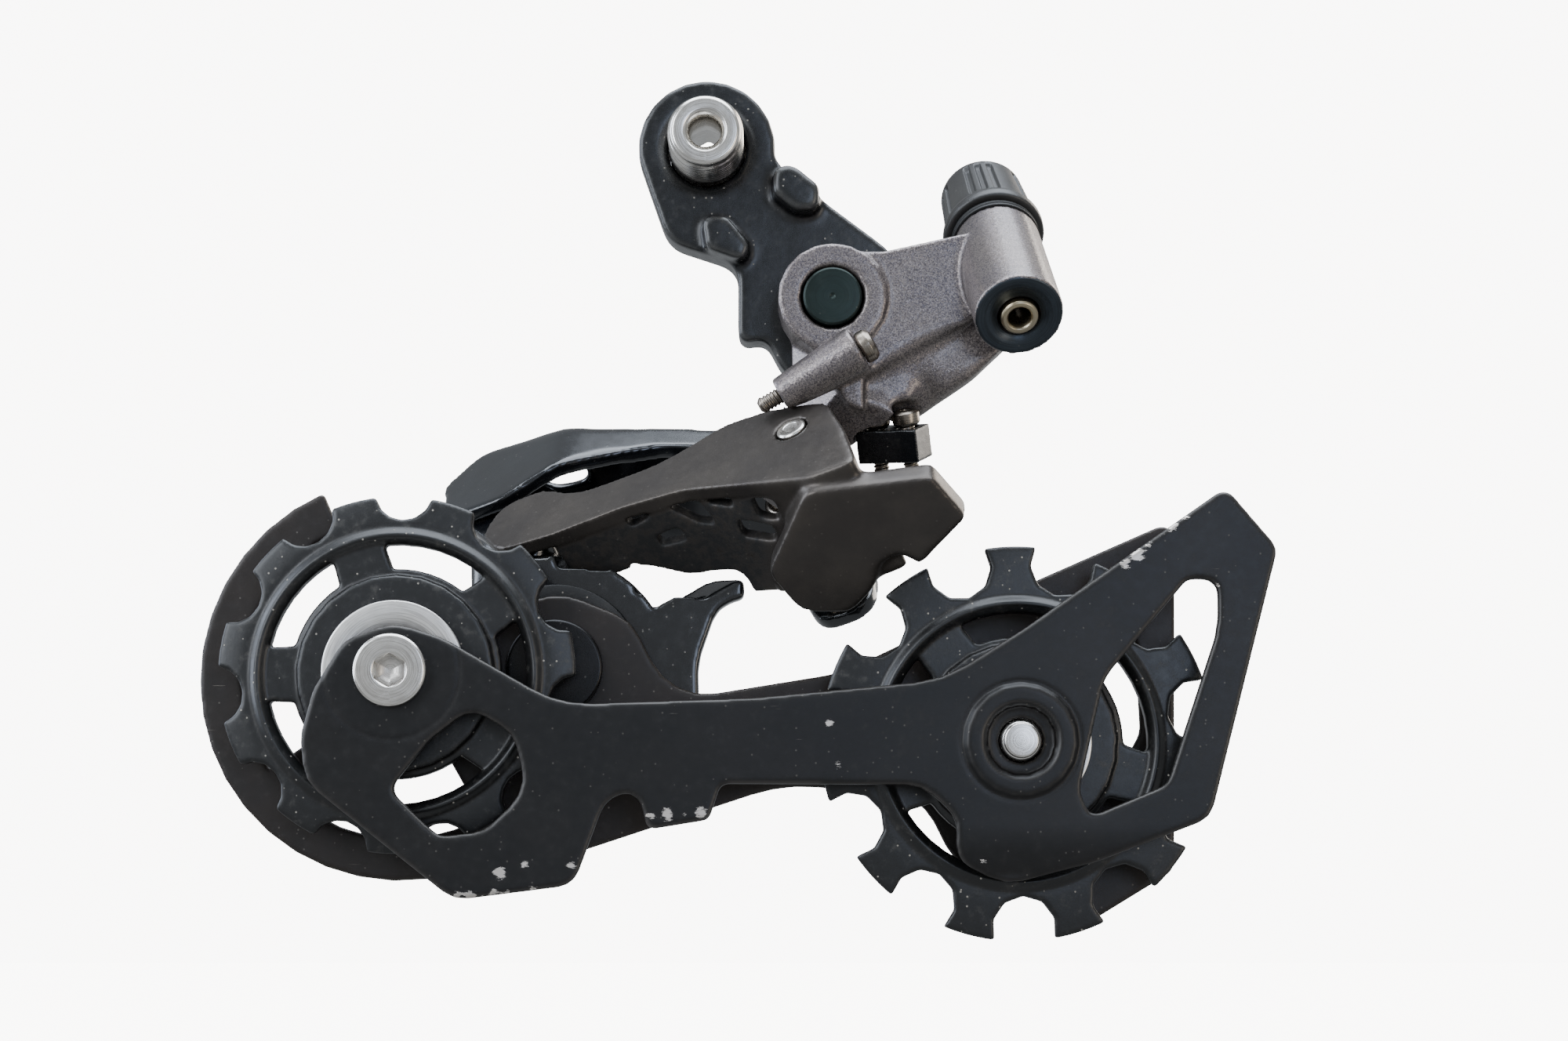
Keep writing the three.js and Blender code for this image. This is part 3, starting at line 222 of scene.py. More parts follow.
    # grime in the hollows, as a share of the grime colour; where undersides are marked too, this share is painted
    # shade
    grime_and_shade = maths(tree, "MULTIPLY", maths(tree, "MULTIPLY", hollow, ramp(tree, smears, 0.25, 0.6)), dirt)
    look = blend(tree, grime_and_shade, look, linear(grime))
    look = blend(tree, dusty, look, linear("8f8a80"))
    look = blend(tree, bare_and_sheen, look, linear(under))
    metal = between(tree, bare_and_sheen, metallic, 1.0)
    metal = between(tree, maths(tree, "MAXIMUM", grime_and_shade, dusty), metal, 0.0)
    uneven = maths(tree, "ADD", maths(tree, "MULTIPLY", smears, 0.22), rough - 0.11)
    gloss = between(tree, grime_and_shade, between(tree, bare_and_sheen, uneven, 0.38), 0.7)
    gloss = between(tree, dusty, gloss, 0.9)

    geometry = add(tree, "ShaderNodeNewGeometry").outputs["Normal"]
    if flakes:
        # metallic flakes a tenth of a millimetre across, each tilted its own way
        flake = add(tree, "ShaderNodeTexVoronoi", {"Vector": mm, "Scale": 7.5})
        tilt = add(tree, "ShaderNodeVectorMath", {0: flake.outputs["Color"], 1: (0.5, 0.5, 0.5)},
                   operation="SUBTRACT").outputs[0]
        tilt = add(tree, "ShaderNodeVectorMath", {0: tilt, "Scale": flakes}, operation="SCALE").outputs[0]
        lean = add(tree, "ShaderNodeVectorMath", {0: geometry, 1: tilt}, operation="ADD").outputs[0]
        geometry = add(tree, "ShaderNodeVectorMath", {0: lean}, operation="NORMALIZE").outputs[0]
        shade = add(tree, "ShaderNodeSeparateColor", {0: flake.outputs["Color"]}).outputs[1]
        look = blend(tree, maths(tree, "MULTIPLY", shade, 0.45), look, linear("b0a59d"))
    chipped = maths(tree, "SUBTRACT", height, maths(tree, "MULTIPLY", bare_and_sheen, 0.03))
    bump = add(tree, "ShaderNodeBump", {"Height": chipped, "Distance": MM, "Normal": geometry})
    shader = add(tree, "ShaderNodeBsdfPrincipled", {
        "Base Color": look, "Metallic": metal, "Roughness": gloss,
        "Coat Weight": coat, "Coat Roughness": 0.12, "Normal": bump.outputs[0]})
    add(tree, "ShaderNodeOutputMaterial", {"Surface": shader.outputs[0]})
    return material


# black electro-coated casting: deep satin black, its edges rubbed through to the bare alloy
black_casting = surface("black_ecoated_casting", "060708", "0b0d10", 0.28, wear=0.16, under="a5a39e",
                        dust=0.70, grain=(0.5, 0.008), waves=0.09, dirt=0.35)
# gloss black coating on the knuckle: wet-looking, with soft blue highlights
gloss_black = surface("gloss_black_ecoat", "050608", "08090c", 0.20, coat=0.6, wear=0.08, under="8f8d89", dust=0.35,
                      grain=(0.8, 0.003), waves=0.06, dirt=0.4)
# oiled black-oxide steel: near black with a faint metal sheen
black_oxide = surface("oiled_black_oxide_steel", "1a1a1b", "222121", 0.28, metallic=0.7, dust=0.2,
                      grain=(0.3, 0.003), dirt=0.6)
# metallic-flake paint on die-cast aluminium: warm purple-grey with a sparkle and rubbed rims
graphite_paint = surface("graphite_flake_paint", "474349", "534d4d", 0.37, metallic=0.85, coat=0.3, wear=0.20,
                         under="c9c6c0", dust=0.10, grain=(0.25, 0.003), flakes=0.20, dirt=0.85)
# satin grey anodised forging: soft warm sheen, with the grime colour on the wall below the link's top face
grey_anodised = surface("satin_grey_anodised", "403c39", "4b4641", 0.38, metallic=0.8, wear=0.16,
                        under="b9b4ac", dust=0.12, grain=(0.5, 0.004), waves=0.03, dirt=1.0, grime="0d0c0b")
# gloss gunmetal lacquer over the shell: dark, wet-looking, with bright rims
gunmetal_paint = surface("gloss_gunmetal_lacquer", "0e1013", "16191d", 0.20, metallic=0.45, coat=0.7, wear=0.10,
                         under="a7a9ab", dust=0.12, grain=(0.8, 0.002), waves=0.05, dirt=0.4)
# black anodised plate: matt and velvety, with chips of bare aluminium along its cut edges
black_plate = surface("matt_black_anodised_plate", "0a0909", "110f0e", 0.38, metallic=0.35, wear=0.50, under="c9c2ba",
                      dust=0.16, grain=(0.18, 0.004), scratches=0.8, dirt=0.2)
# the same plate on the outer side, browner where old chain oil has dried on it
brown_plate = surface("oil_stained_black_plate", "140e0a", "1c140e", 0.42, metallic=0.25, wear=0.30, under="b8aea2",
                      dust=0.22, grain=(0.18, 0.005), scratches=0.5, dirt=0.5, grime="20160f")
# glass-filled black nylon: dull, grey with road dust, polished where the chain runs
black_nylon = surface("dusty_black_nylon", "080808", "0d0d0d", 0.36, wear=0.0, dust=1.0, grain=(0.3, 0.008),
                      dirt=0.35, grime="241c14", waves=0.03)
# turned steel: bright, with the lathe's fine rings and a little old grease
bright_steel = surface("turned_bright_steel", "d6d2cb", "e2dfd9", 0.24, metallic=1.0, dust=0.03, grain=(0.3, 0.001),
                       rings=0.004, dirt=0.35, grime="3a2c1e")
# plated screw steel: darker and greasier than the turned parts
screw_steel = surface("plated_screw_steel", "857d73", "978f84", 0.28, metallic=1.0, dust=0.10, grain=(0.3, 0.003),
                      rings=0.006, dirt=1.0, grime="2a1f15")
# turned brass: yellow, tarnished to brown in its corners
brass = surface("tarnished_brass", "ae8a50", "c0a06a", 0.30, metallic=1.0, grain=(0.3, 0.003), rings=0.008,
                dirt=1.0, grime="38260f")
# nickel-plated brass: silver that has worn a little yellow where the cable housing sits
pale_brass = surface("worn_nickelled_brass", "a59b88", "b3a685", 0.30, metallic=1.0, grain=(0.3, 0.003), rings=0.008,
                     dirt=0.9, grime="33271a")
# hard-anodised axle: dark green-grey with concentric tool marks on its end
dark_axle = surface("hard_anodised_axle", "1a2421", "202b28", 0.36, metallic=0.7, dust=0.12, grain=(0.2, 0.002),
                    rings=0.004, dirt=0.5, grime="141816")
# machined and blackened face: bare cuts gone blue-grey
machined_face = surface("blackened_machined_face", "343a40", "40464c", 0.34, metallic=0.8, grain=(0.2, 0.003),
                        rings=0.012, dirt=0.8, grime="16130f", dust=0.1)
# moulded black plastic: mid-grey in strong light, faintly ribbed by its mould
black_plastic = surface("moulded_black_plastic", "1e1d1c", "262523", 0.40, dust=0.18, grain=(0.35, 0.006), dirt=0.4,
                        grime="121110", waves=0.02)
# black rubber: dull, with pale dust caught on it
black_rubber = surface("black_rubber", "090909", "121212", 0.62, dust=0.8, grain=(0.25, 0.012), dirt=0.3)
# light washer steel of the wheel's dust caps
pale_cap = surface("pale_pressed_cap", "dedbd6", "e8e6e1", 0.34, metallic=0.9, dust=0.12, grain=(0.3, 0.004),
                   rings=0.005, dirt=0.7, grime="3a2f24")


# ---------------------------------------------------------------- making meshes
def put(name, mesh, nodes, material):
    """Puts a finished mesh into the scene, on the body of the CAD nodes it stands for."""
    made = bpy.data.objects.new(name, mesh)
    bpy.context.scene.collection.objects.link(made)
    mesh.materials.clear()
    mesh.materials.append(material)
    mesh.polygons.foreach_set("use_smooth", np.ones(len(mesh.polygons), bool))
    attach(made, BODY_OF[nodes[0]])
    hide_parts(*nodes)
    return made


def points_of(mesh):
    flat = np.zeros(len(mesh.vertices) * 3, np.float32)
    mesh.vertices.foreach_get("co", flat)
    return flat.reshape(-1, 3).astype(float)


def move_points(mesh, co):
    """Gives a mesh its points, in millimetres."""
    mesh.vertices.foreach_set("co", (co * MM).astype(np.float32).ravel())
    mesh.update()


def normals_of(mesh):
    flat = np.zeros(len(mesh.vertices) * 3, np.float32)
    mesh.vertex_normals.foreach_get("vector", flat)
    return flat.reshape(-1, 3)


def edges_of(mesh):
    """The two ends of each edge, as the numbers of their points."""
    ends = np.zeros(len(mesh.edges) * 2, np.int32)
    mesh.edges.foreach_get("vertices", ends)
    return ends.reshape(-1, 2)


def box_mm(node):
    """The lowest and the highest corner of a CAD node's box, in millimetres."""
    return [np.array(corner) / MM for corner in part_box(node)]


def place_in(node, x, y, z):
    """A point in millimetres, given as shares of a CAD node's box."""
    low, high = box_mm(node)
    return low + (high - low) * np.array((x, y, z))


def note(mesh, name, values):
    """Stores one number for each point, for the materials to read."""
    layer = mesh.attributes.get(name) or mesh.attributes.new(name, "FLOAT", "POINT")
    layer.data.foreach_set("value", values.astype(np.float32))


def note_edges(mesh, reach, rounds=1):
    """Marks how far each point stands out of, or sinks into, the surface round it.
    Reach is the curve that counts as full, and each round spreads the marks a little."""
    co = points_of(mesh) / MM
    ends = edges_of(mesh)
    count = np.bincount(ends.ravel(), minlength=len(co)).astype(float)
    count[count == 0] = 1

    def spread(values):
        total = np.zeros_like(values)
        np.add.at(total, ends[:, 0], values[ends[:, 1]])
        np.add.at(total, ends[:, 1], values[ends[:, 0]])
        return total / (count[:, None] if values.ndim == 2 else count)

    out = np.einsum("ij,ij->i", co - spread(co), normals_of(mesh))
    for _ in range(rounds):
        out = 0.5 * out + 0.5 * spread(out)
    note(mesh, "edge", np.clip(out / reach, 0, 1))
    note(mesh, "hollow", np.clip(-out / reach, 0, 1))


def scuffs(mesh, spots):
    """Marks rubbed places: each spot is (x, y, z, radius) in millimetres."""
    co = points_of(mesh) / MM
    total = np.zeros(len(co))
    for x, y, z, radius in spots:
        away = np.linalg.norm(co - np.array((x, y, z)), axis=1)
        total = np.maximum(total, np.clip(1 - away / radius, 0, 1))
    note(mesh, "scuff", total)


def cast_skin(node, cell, passes, shape=None):
    """A fine, evenly meshed skin over a CAD node, its corners eased as a casting's or a stamping's are."""
    solid = frame["nodes"][node].data.copy()
    work = bmesh.new()
    work.from_mesh(solid)
    bmesh.ops.remove_doubles(work, verts=work.verts, dist=1e-6)
    bmesh.ops.scale(work, vec=IN_MM, verts=work.verts)
    work.to_mesh(solid)
    work.free()
    holder = bpy.data.objects.new("holder", solid)
    bpy.context.scene.collection.objects.link(holder)
    remesh = holder.modifiers.new("skin", "REMESH")
    remesh.mode = "VOXEL"
    remesh.voxel_size = cell
    ease = holder.modifiers.new("ease", "SMOOTH")
    ease.factor = 0.5
    ease.iterations = passes
    graph = bpy.context.evaluated_depsgraph_get()
    mesh = bpy.data.meshes.new_from_object(holder.evaluated_get(graph))
    bpy.data.objects.remove(holder)
    mesh.name = node + "_skin"
    co = points_of(mesh)
    if shape:
        co = shape(co)
    move_points(mesh, np.clip(co, *box_mm(node)))
    note_edges(mesh, 0.64 * cell / (1 + passes / 3))
    return mesh


def melt(mesh, centre, radius, passes):
    """Smooths one region of a skin, given in millimetres, as a casting's fillets run together there."""
    co = points_of(mesh) / MM
    near = np.clip(1.6 - 1.6 * np.linalg.norm(co - np.array(centre), axis=1) / radius, 0, 1)
    ends = edges_of(mesh)
    ends = ends[(near[ends] > 0).all(axis=1)]
    one, other = ends.T
    count = np.bincount(ends.ravel(), minlength=len(co))
    near[count == 0] = 0
    count = np.maximum(count, 1)
    for _ in range(passes):
        total = np.stack([np.bincount(one, co[other, k], len(co)) + np.bincount(other, co[one, k], len(co))
                          for k in range(3)], 1)
        co += 0.6 * near[:, None] * (total / count[:, None] - co)
    move_points(mesh, co)
    note_edges(mesh, 0.16)
    return mesh


def paint_shade_below(mesh):
    """Adds the faces that turn downwards to the grime marks of recesses, so that the grime colour paints shade on the
    underside.
    """
    under = np.clip((-normals_of(mesh)[:, 2] - 0.25) / 0.5, 0, 1)
    sunk = np.zeros(len(mesh.vertices), np.float32)
    mesh.attributes["hollow"].data.foreach_get("value", sunk)
    note(mesh, "hollow", np.maximum(sunk, under))
    return mesh


def axis_of(joint, toward=None):
    """A joint's line: a point on it in millimetres and its direction."""
    place, way = np.array(JOINTS[joint]["pos_m"]) / MM, np.array(JOINTS[joint]["axis"], float)
    if toward is not None and way @ np.array(toward) < 0:
        way = -way
    return place, way / np.linalg.norm(way)


def span(node, line):
    """How far a CAD node reaches along a line, lowest and highest, in millimetres."""
    along = (points_of(frame["nodes"][node].data) / MM - line[0]) @ line[1]
    return along.min(), along.max()


def across(way):
    """Two directions square to a line and to each other."""
    aside = np.cross(way, (1.0, 0.0, 0.0) if abs(way[0]) < 0.8 else (0.0, 0.0, 1.0))
    aside /= np.linalg.norm(aside)
    return aside, np.cross(way, aside)


def hexagon(angle, radius):
    """The radius of a hexagon whose flats stand at the given radius."""
    return radius / np.cos((angle % (math.pi / 3)) - math.pi / 6)


def eased(rows, radius):
    """The rows of a profile, each plain corner turned into a small curve."""
    out = []
    count = len(rows)
    for i, row in enumerate(rows):
        if len(row) > 2 or row[0] < 1e-6 or (i in (0, count - 1)):
            out.append(row)
            continue
        here = np.array(row[:2], float)
        sides = []
        for other in (rows[i - 1], rows[(i + 1) % count]):
            step = np.array(other[:2], float) - here
            length = np.linalg.norm(step)
            sides.append(here + step * (min(radius, 0.4 * length) / max(length, 1e-9)))
        for t in (0.0, 0.35, 0.65, 1.0):
            p = sides[0] * (1 - t) ** 2 + here * 2 * t * (1 - t) + sides[1] * t ** 2
            out.append((p[0], p[1]))
    return out


def thread(radius, start, end, pitch, depth):
    """Profile rows of a screw thread, running in and out at its two ends."""
    steps = max(8, int(abs(end - start) / pitch * 8))
    rows = []
    for i in range(steps + 1):
        along = start + (end - start) * i / steps
        fade = min(1.0, i / 6, (steps - i) / 6) * depth

        def cut(angle, r, along=along, fade=fade):
            phase = (along / pitch - angle / (2 * math.pi)) % 1.0
            return r - fade * np.clip(np.abs(phase - 0.5) * 3.2 - 0.3, 0, 1)

        rows.append((radius, along, cut))
    return rows


def turned(name, line, rows, around=96, ease=0.15, reach=0.05):
    """A turned mesh. Rows are (radius, distance along the line), and perhaps a function of the angle for
    the radius. Ease is how far a corner's curve runs.
    Rows that start and end on the line close there. Any other profile closes on itself."""
    rows = eased(rows, ease)
    angle = np.linspace(0, 2 * math.pi, around, endpoint=False)
    aside, up = across(line[1])
    ring = np.outer(np.cos(angle), aside) + np.outer(np.sin(angle), up)
    points, faces, turning, starts = [], [], [], []
    total = 0
    for row in rows:
        radius, along = row[0], row[1]
        if radius < 1e-6:
            points.append((line[0] + line[1] * along)[None])
            turning.append(np.array([[0.0, along, 0.0]]))
            starts.append((total, 1))
            total += 1
            continue
        radii = row[2](angle, radius) if len(row) > 2 else np.full(around, float(radius))
        points.append(line[0] + line[1] * along + ring * radii[:, None])
        turning.append(np.stack([radii, np.full(around, float(along)), angle * radius], 1))
        starts.append((total, around))
        total += around
    closed = rows[0][0] > 1e-6
    for i in range(len(rows) if closed else len(rows) - 1):
        (a, na), (b, nb) = starts[i], starts[(i + 1) % len(rows)]
        for k in range(around):
            n = (k + 1) % around
            if na == 1:
                faces.append((a, b + n, b + k))
            elif nb == 1:
                faces.append((a + k, a + n, b))
            else:
                faces.append((a + k, a + n, b + n, b + k))
    mesh = bpy.data.meshes.new(name)
    mesh.from_pydata((np.concatenate(points) * MM).tolist(), [], faces)
    mesh.update()
    work = bmesh.new()
    work.from_mesh(mesh)
    bmesh.ops.recalc_face_normals(work, faces=work.faces)
    work.to_mesh(mesh)
    work.free()
    layer = mesh.attributes.new("turning", "FLOAT_VECTOR", "POINT")
    layer.data.foreach_set("vector", np.concatenate(turning).astype(np.float32).ravel())
    note_edges(mesh, reach, 0)
    return mesh


# ---------------------------------------------------------------- bracket and bolt
HANGER = axis_of("hanger_bolt_turn", (0, 1, 0))
B_AXLE = axis_of("body_tilt", (0, 1, 0))
CAGE = axis_of("cage_turn", (0, 1, 0))
GUIDE = axis_of("guide_wheel_spin", (0, 1, 0))
TENSION = axis_of("tension_wheel_spin", (0, 1, 0))

bracket = cast_skin("hanger_bracket", 0.30, 30)
low, high = box_mm("hanger_bracket")
scuffs(bracket, [(low[0] + 9, low[1] + 3, low[2] + 1.5, 5), (low[0] + 11.5, low[1] + 1.0, low[2] + 12, 2.6)])
put("bracket_casting", bracket, ["hanger_bracket"], black_casting)

# In the profiles below, a piece's two ends along its line come from span, and distances along a line
# with no end in them are measured from the joint.
tip, head = span("hanger_bolt", HANGER)
HEAD_R, HEAD_SEAT, KEY_R = 7.6, 7.8, 2.9
bolt_rows = [(2.1, tip + 0.6), (2.75, tip), (4.05, tip), (4.45, tip + 0.3), (4.5, tip + 1.5)]
bolt_rows += thread(4.85, tip + 1.9, -0.3, 1.0, 0.22)
bolt_rows += [(4.85, HEAD_SEAT), (HEAD_R, HEAD_SEAT), (HEAD_R, head - 0.8), (6.8, head), (2.95, head, hexagon),
              (KEY_R, head - 0.5, hexagon), (KEY_R, 7.0, hexagon), (2.1, 6.4)]
put("hanger_bolt_steel", turned("hanger_bolt", HANGER, bolt_rows, 120), ["hanger_bolt"], bright_steel)

a, b = span("bolt_washer", HANGER)
washer_rows = [(5.2, a), (8.2, a), (8.2, b), (5.2, b)]
put("bolt_washer_ring", turned("bolt_washer", HANGER, washer_rows), ["bolt_washer"], screw_steel)

a, b = span("b_axle", B_AXLE)
AXLE_STEP = 7.2
axle_rows = [(0, a + 0.14), (0.16, a + 0.10), (0.42, a), (3.45, a), (3.7, a + 0.22),
             (3.7, AXLE_STEP), (3.2, AXLE_STEP), (3.2, b - 0.25), (2.95, b), (0, b)]
put("body_axle", turned("b_axle", B_AXLE, axle_rows, ease=0.08), ["b_axle"], dark_axle)
a, b = span("b_axle_bush", B_AXLE)
put("body_axle_bush", turned("b_axle_bush", B_AXLE, [(4.0, a), (5.0, a), (5.0, b), (4.0, b)]), ["b_axle_bush"], brass)
a, b = span("b_axle_cap", B_AXLE)
cap_rows = [(3.5, a), (8.6, a), (8.6, b - 0.9), (7.9, b), (5.2, b), (4.8, b - 0.35), (3.5, b - 0.35)]
put("body_axle_cap", turned("b_axle_cap", B_AXLE, cap_rows, ease=0.3), ["b_axle_cap"], black_casting)

# ---------------------------------------------------------------- body, stop and adjuster
body = melt(cast_skin("body_casting", 0.27, 6), place_in("body_casting", 0.587, 0.577, 0.485), 10, 90)
# the body's downward-facing faces are darkened with the grime colour: painted shade on its underside
put("body_casting_skin", paint_shade_below(body), ["body_casting"], graphite_paint)
put("limit_block_skin", cast_skin("limit_screw_block", 0.14, 5), ["limit_screw_block"], black_casting)

STOP = axis_of("barrel_adjuster_turn", (0, 1, 1))
a, b = span("cable_stop_insert", STOP)
insert_rows = [(1.4, a + 0.3), (1.65, a), (2.1, a), (2.35, a + 0.25), (2.35, b), (1.4, b)]
put("stop_insert", turned("cable_stop_insert", STOP, insert_rows, 64, 0.08), ["cable_stop_insert"], pale_brass)
a, b = span("adjuster_core", STOP)
core_rows = [(1.2, a), (2.0, a)] + thread(2.3, a + 0.3, a + 13, 0.8, 0.16) + [(2.3, b), (1.2, b)]
put("adjuster_core_steel", turned("adjuster_core", STOP, core_rows, 48, 0.06), ["adjuster_core"], screw_steel)
a, b = span("adjuster_gasket", STOP)
gasket_rows = [(3.2, a), (5.7, a), (5.7, a + 0.4), (5.5, a + 0.55), (5.7, a + 0.7), (5.7, b), (3.2, b)]
put("adjuster_gasket_ring", turned("adjuster_gasket", STOP, gasket_rows, 96, 0.08), ["adjuster_gasket"], black_rubber)

a, b = span("adjuster_knob", STOP)
GROUPS, GROOVE_STEP, GROOVE_WIDE, GROOVE_DEEP = 5, 16.0, 4.4, 0.5


def grip(share):
    """The knob's radius with its finger grooves: groups of three, with a smooth land between the groups."""
    def cut(angle, radius):
        turn = np.degrees(angle) % (360 / GROUPS)
        deep = np.zeros_like(turn)
        for k in range(3):
            off = np.abs(turn - 10 - k * GROOVE_STEP) / GROOVE_WIDE
            deep = np.maximum(deep, np.clip((1 - off) * 3.0, 0, 1))
        deep = deep * deep * (3 - 2 * deep)
        return radius - GROOVE_DEEP * share * deep
    return cut


knob_rows = [(2.7, a + 8.2), (4.55, a + 8.0), (4.55, a + 0.1), (4.8, a), (6.25, a), (6.5, a + 0.3),
             (6.55, a + 1.3), (6.05, a + 2.2)]
GRIP_FROM, GRIP_TO = a + 2.6, b - 1.9
for i in range(41):
    along = GRIP_FROM + (GRIP_TO - GRIP_FROM) * i / 40
    inside = min(along - GRIP_FROM, GRIP_TO - along)
    share = math.sin(math.pi / 2 * min(1.0, inside / 0.8))
    knob_rows.append((5.92 - 0.5 * i / 40, along, grip(share)))
knob_rows += [(5.35, b - 1.2), (4.75, b - 0.25), (4.3, b), (3.1, b), (2.7, b - 0.4)]
put("adjuster_knob_grip", turned("adjuster_knob", STOP, knob_rows, 360, 0.3, 0.03), ["adjuster_knob"], black_plastic)

face_rows = [(2.75, -0.05), (5.25, -0.05), (5.45, 0.1), (5.3, 0.4), (2.75, 0.4)]
put("stop_machined_face", turned("stop_face", STOP, face_rows, 96, 0.05), ["body_casting"], machined_face)


# ---------------------------------------------------------------- coil springs, as a Geometry Nodes group
def coil_group(material):
    """Geometry nodes that wind a round wire into a coil standing on +Z."""
    group = bpy.data.node_groups.new("wound_wire", "GeometryNodeTree")
    sockets = {}
    kinds = {"Turns": "Float", "Coil Radius": "Float", "Length": "Float", "Wire Radius": "Float", "Steps": "Int"}
    for label, kind in kinds.items():
        socket = group.interface.new_socket(label, in_out="INPUT", socket_type="NodeSocket" + kind)
        sockets[label] = socket.identifier
    group.interface.new_socket("Geometry", in_out="OUTPUT", socket_type="NodeSocketGeometry")
    given = add(group, "NodeGroupInput")
    path = add(group, "GeometryNodeCurveSpiral", {
        "Resolution": given.outputs["Steps"], "Rotations": given.outputs["Turns"],
        "Start Radius": given.outputs["Coil Radius"], "End Radius": given.outputs["Coil Radius"],
        "Height": given.outputs["Length"]})
    wire = add(group, "GeometryNodeCurvePrimitiveCircle", {"Resolution": 12, "Radius": given.outputs["Wire Radius"]})
    wound = add(group, "GeometryNodeCurveToMesh", {
        "Curve": path.outputs[0], "Profile Curve": wire.outputs[0], "Fill Caps": True})
    whole = add(group, "GeometryNodeRealizeInstances", {0: wound.outputs[0]})
    dressed = add(group, "GeometryNodeSetMaterial", {"Geometry": whole.outputs[0], "Material": material})
    add(group, "NodeGroupOutput", {0: dressed.outputs[0]})
    return group, sockets


WIRE, WIRE_INPUTS = coil_group(screw_steel)
STEPS_A_TURN = 48


def coil(name, line, start, end, turns, radius, wire, nodes):
    """A coil spring standing on a line from start to end. The group winds it in millimetres on +Z."""
    holder = bpy.data.objects.new("holder", bpy.data.meshes.new("holder"))
    bpy.context.scene.collection.objects.link(holder)
    wind = holder.modifiers.new("wind", "NODES")
    wind.node_group = WIRE
    sizes = {"Turns": float(turns), "Coil Radius": radius, "Length": end - start, "Wire Radius": wire,
             "Steps": STEPS_A_TURN}
    for label, value in sizes.items():
        wind[WIRE_INPUTS[label]] = value
    holder.update_tag()
    graph = bpy.context.evaluated_depsgraph_get()
    mesh = bpy.data.meshes.new_from_object(holder.evaluated_get(graph))
    bpy.data.objects.remove(holder)
    co = points_of(mesh)
    aside, up = across(line[1])
    co = line[0] + line[1] * start + co[:, :1] * aside + co[:, 1:2] * up + co[:, 2:3] * line[1]
    move_points(mesh, co)
    note_edges(mesh, 0.5)
    mesh.name = name
    put(name, mesh, nodes, screw_steel)


a, b = span("adjuster_spring", STOP)
coil("adjuster_spring_coil", STOP, a + 0.35, b - 0.35, 5, 3.5, 0.35, ["adjuster_spring"])
INNER_SWING = axis_of("inner_link_swing")
OUTER_SWING = axis_of("outer_link_swing")
a, b = span("return_spring", OUTER_SWING)
coil("return_spring_coil", OUTER_SWING, a + 0.7, b - 0.7, 8, 3.2, 0.7, ["return_spring"])
a, b = span("cage_spring", CAGE)
coil("cage_spring_coil", CAGE, a + 0.9, b - 0.9, 6, 7.6, 0.9, ["cage_spring"])


# ---------------------------------------------------------------- screws and pins
def screw(node, joint, shank, head_radius, head_long, drive, pitch, dome=0.35):
    """A small screw: threaded shank, domed head and a hexagon drive."""
    line = axis_of(joint)
    low, high = span(node, line)
    co = (points_of(frame["nodes"][node].data) / MM - line[0])
    along = co @ line[1]
    wide = np.linalg.norm(co - np.outer(along, line[1]), axis=1)
    if along[wide.argmax()] < (low + high) / 2:
        line = (line[0], -line[1])
        low, high = -high, -low
    neck = high - head_long
    rows = [(0, low), (shank * 0.55, low), (shank * 0.9, low + 0.35)]
    rows += thread(shank, low + 0.5, neck - 0.1, pitch, 0.16 * shank)
    rows += [(shank, neck), (head_radius * 0.9, neck), (head_radius, neck + 0.3), (head_radius, high - dome),
             (head_radius * 0.8, high - dome * 0.25), (drive * 1.25, high), (drive, high - 0.12, hexagon),
             (drive, high - head_long * 0.6, hexagon), (0, high - head_long * 0.75)]
    put(node + "_steel", turned(node, line, rows, 72, 0.08), [node], screw_steel)


screw("angle_screw", "angle_screw_turn", 1.05, 2.1, 2.0, 0.8, 0.5, 0.7)
screw("limit_screw_high", "limit_screw_high_turn", 1.0, 1.75, 1.9, 0.65, 0.5)
screw("limit_screw_low", "limit_screw_low_turn", 1.0, 1.75, 1.9, 0.65, 0.5)
screw("cable_clamp_bolt", "clamp_bolt_turn", 1.9, 3.0, 1.6, 1.3, 0.8, 0.3)


PIN_R = 1.9


def pin(node, line, radius=PIN_R):
    """A headless pin with a chamfer at each end and a shallow peening ring."""
    low, high = span(node, line)
    rows = [(0, low), (radius - 0.25, low), (radius, low + 0.25), (radius, high - 0.2), (radius - 0.22, high),
            (radius * 0.55, high), (radius * 0.5, high - 0.06), (0, high - 0.06)]
    put(node + "_steel", turned(node, line, rows, 64, 0.05), [node], bright_steel)


def middle(node, way):
    """The line through the middle of a CAD node."""
    low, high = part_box(node)
    return (np.array(low + high) / 2 / MM, way)


KNUCKLE = axis_of("knuckle_swing")
pin("inner_body_pin", INNER_SWING)
pin("outer_body_pin", OUTER_SWING)
pin("inner_knuckle_pin", KNUCKLE)
pin("outer_knuckle_pin", middle("outer_knuckle_pin", INNER_SWING[1]))

# ---------------------------------------------------------------- links, clamp and knuckle
inner_link = melt(cast_skin("inner_link", 0.24, 9), place_in("inner_link", 0.801, 0.254, 0.401), 16, 50)
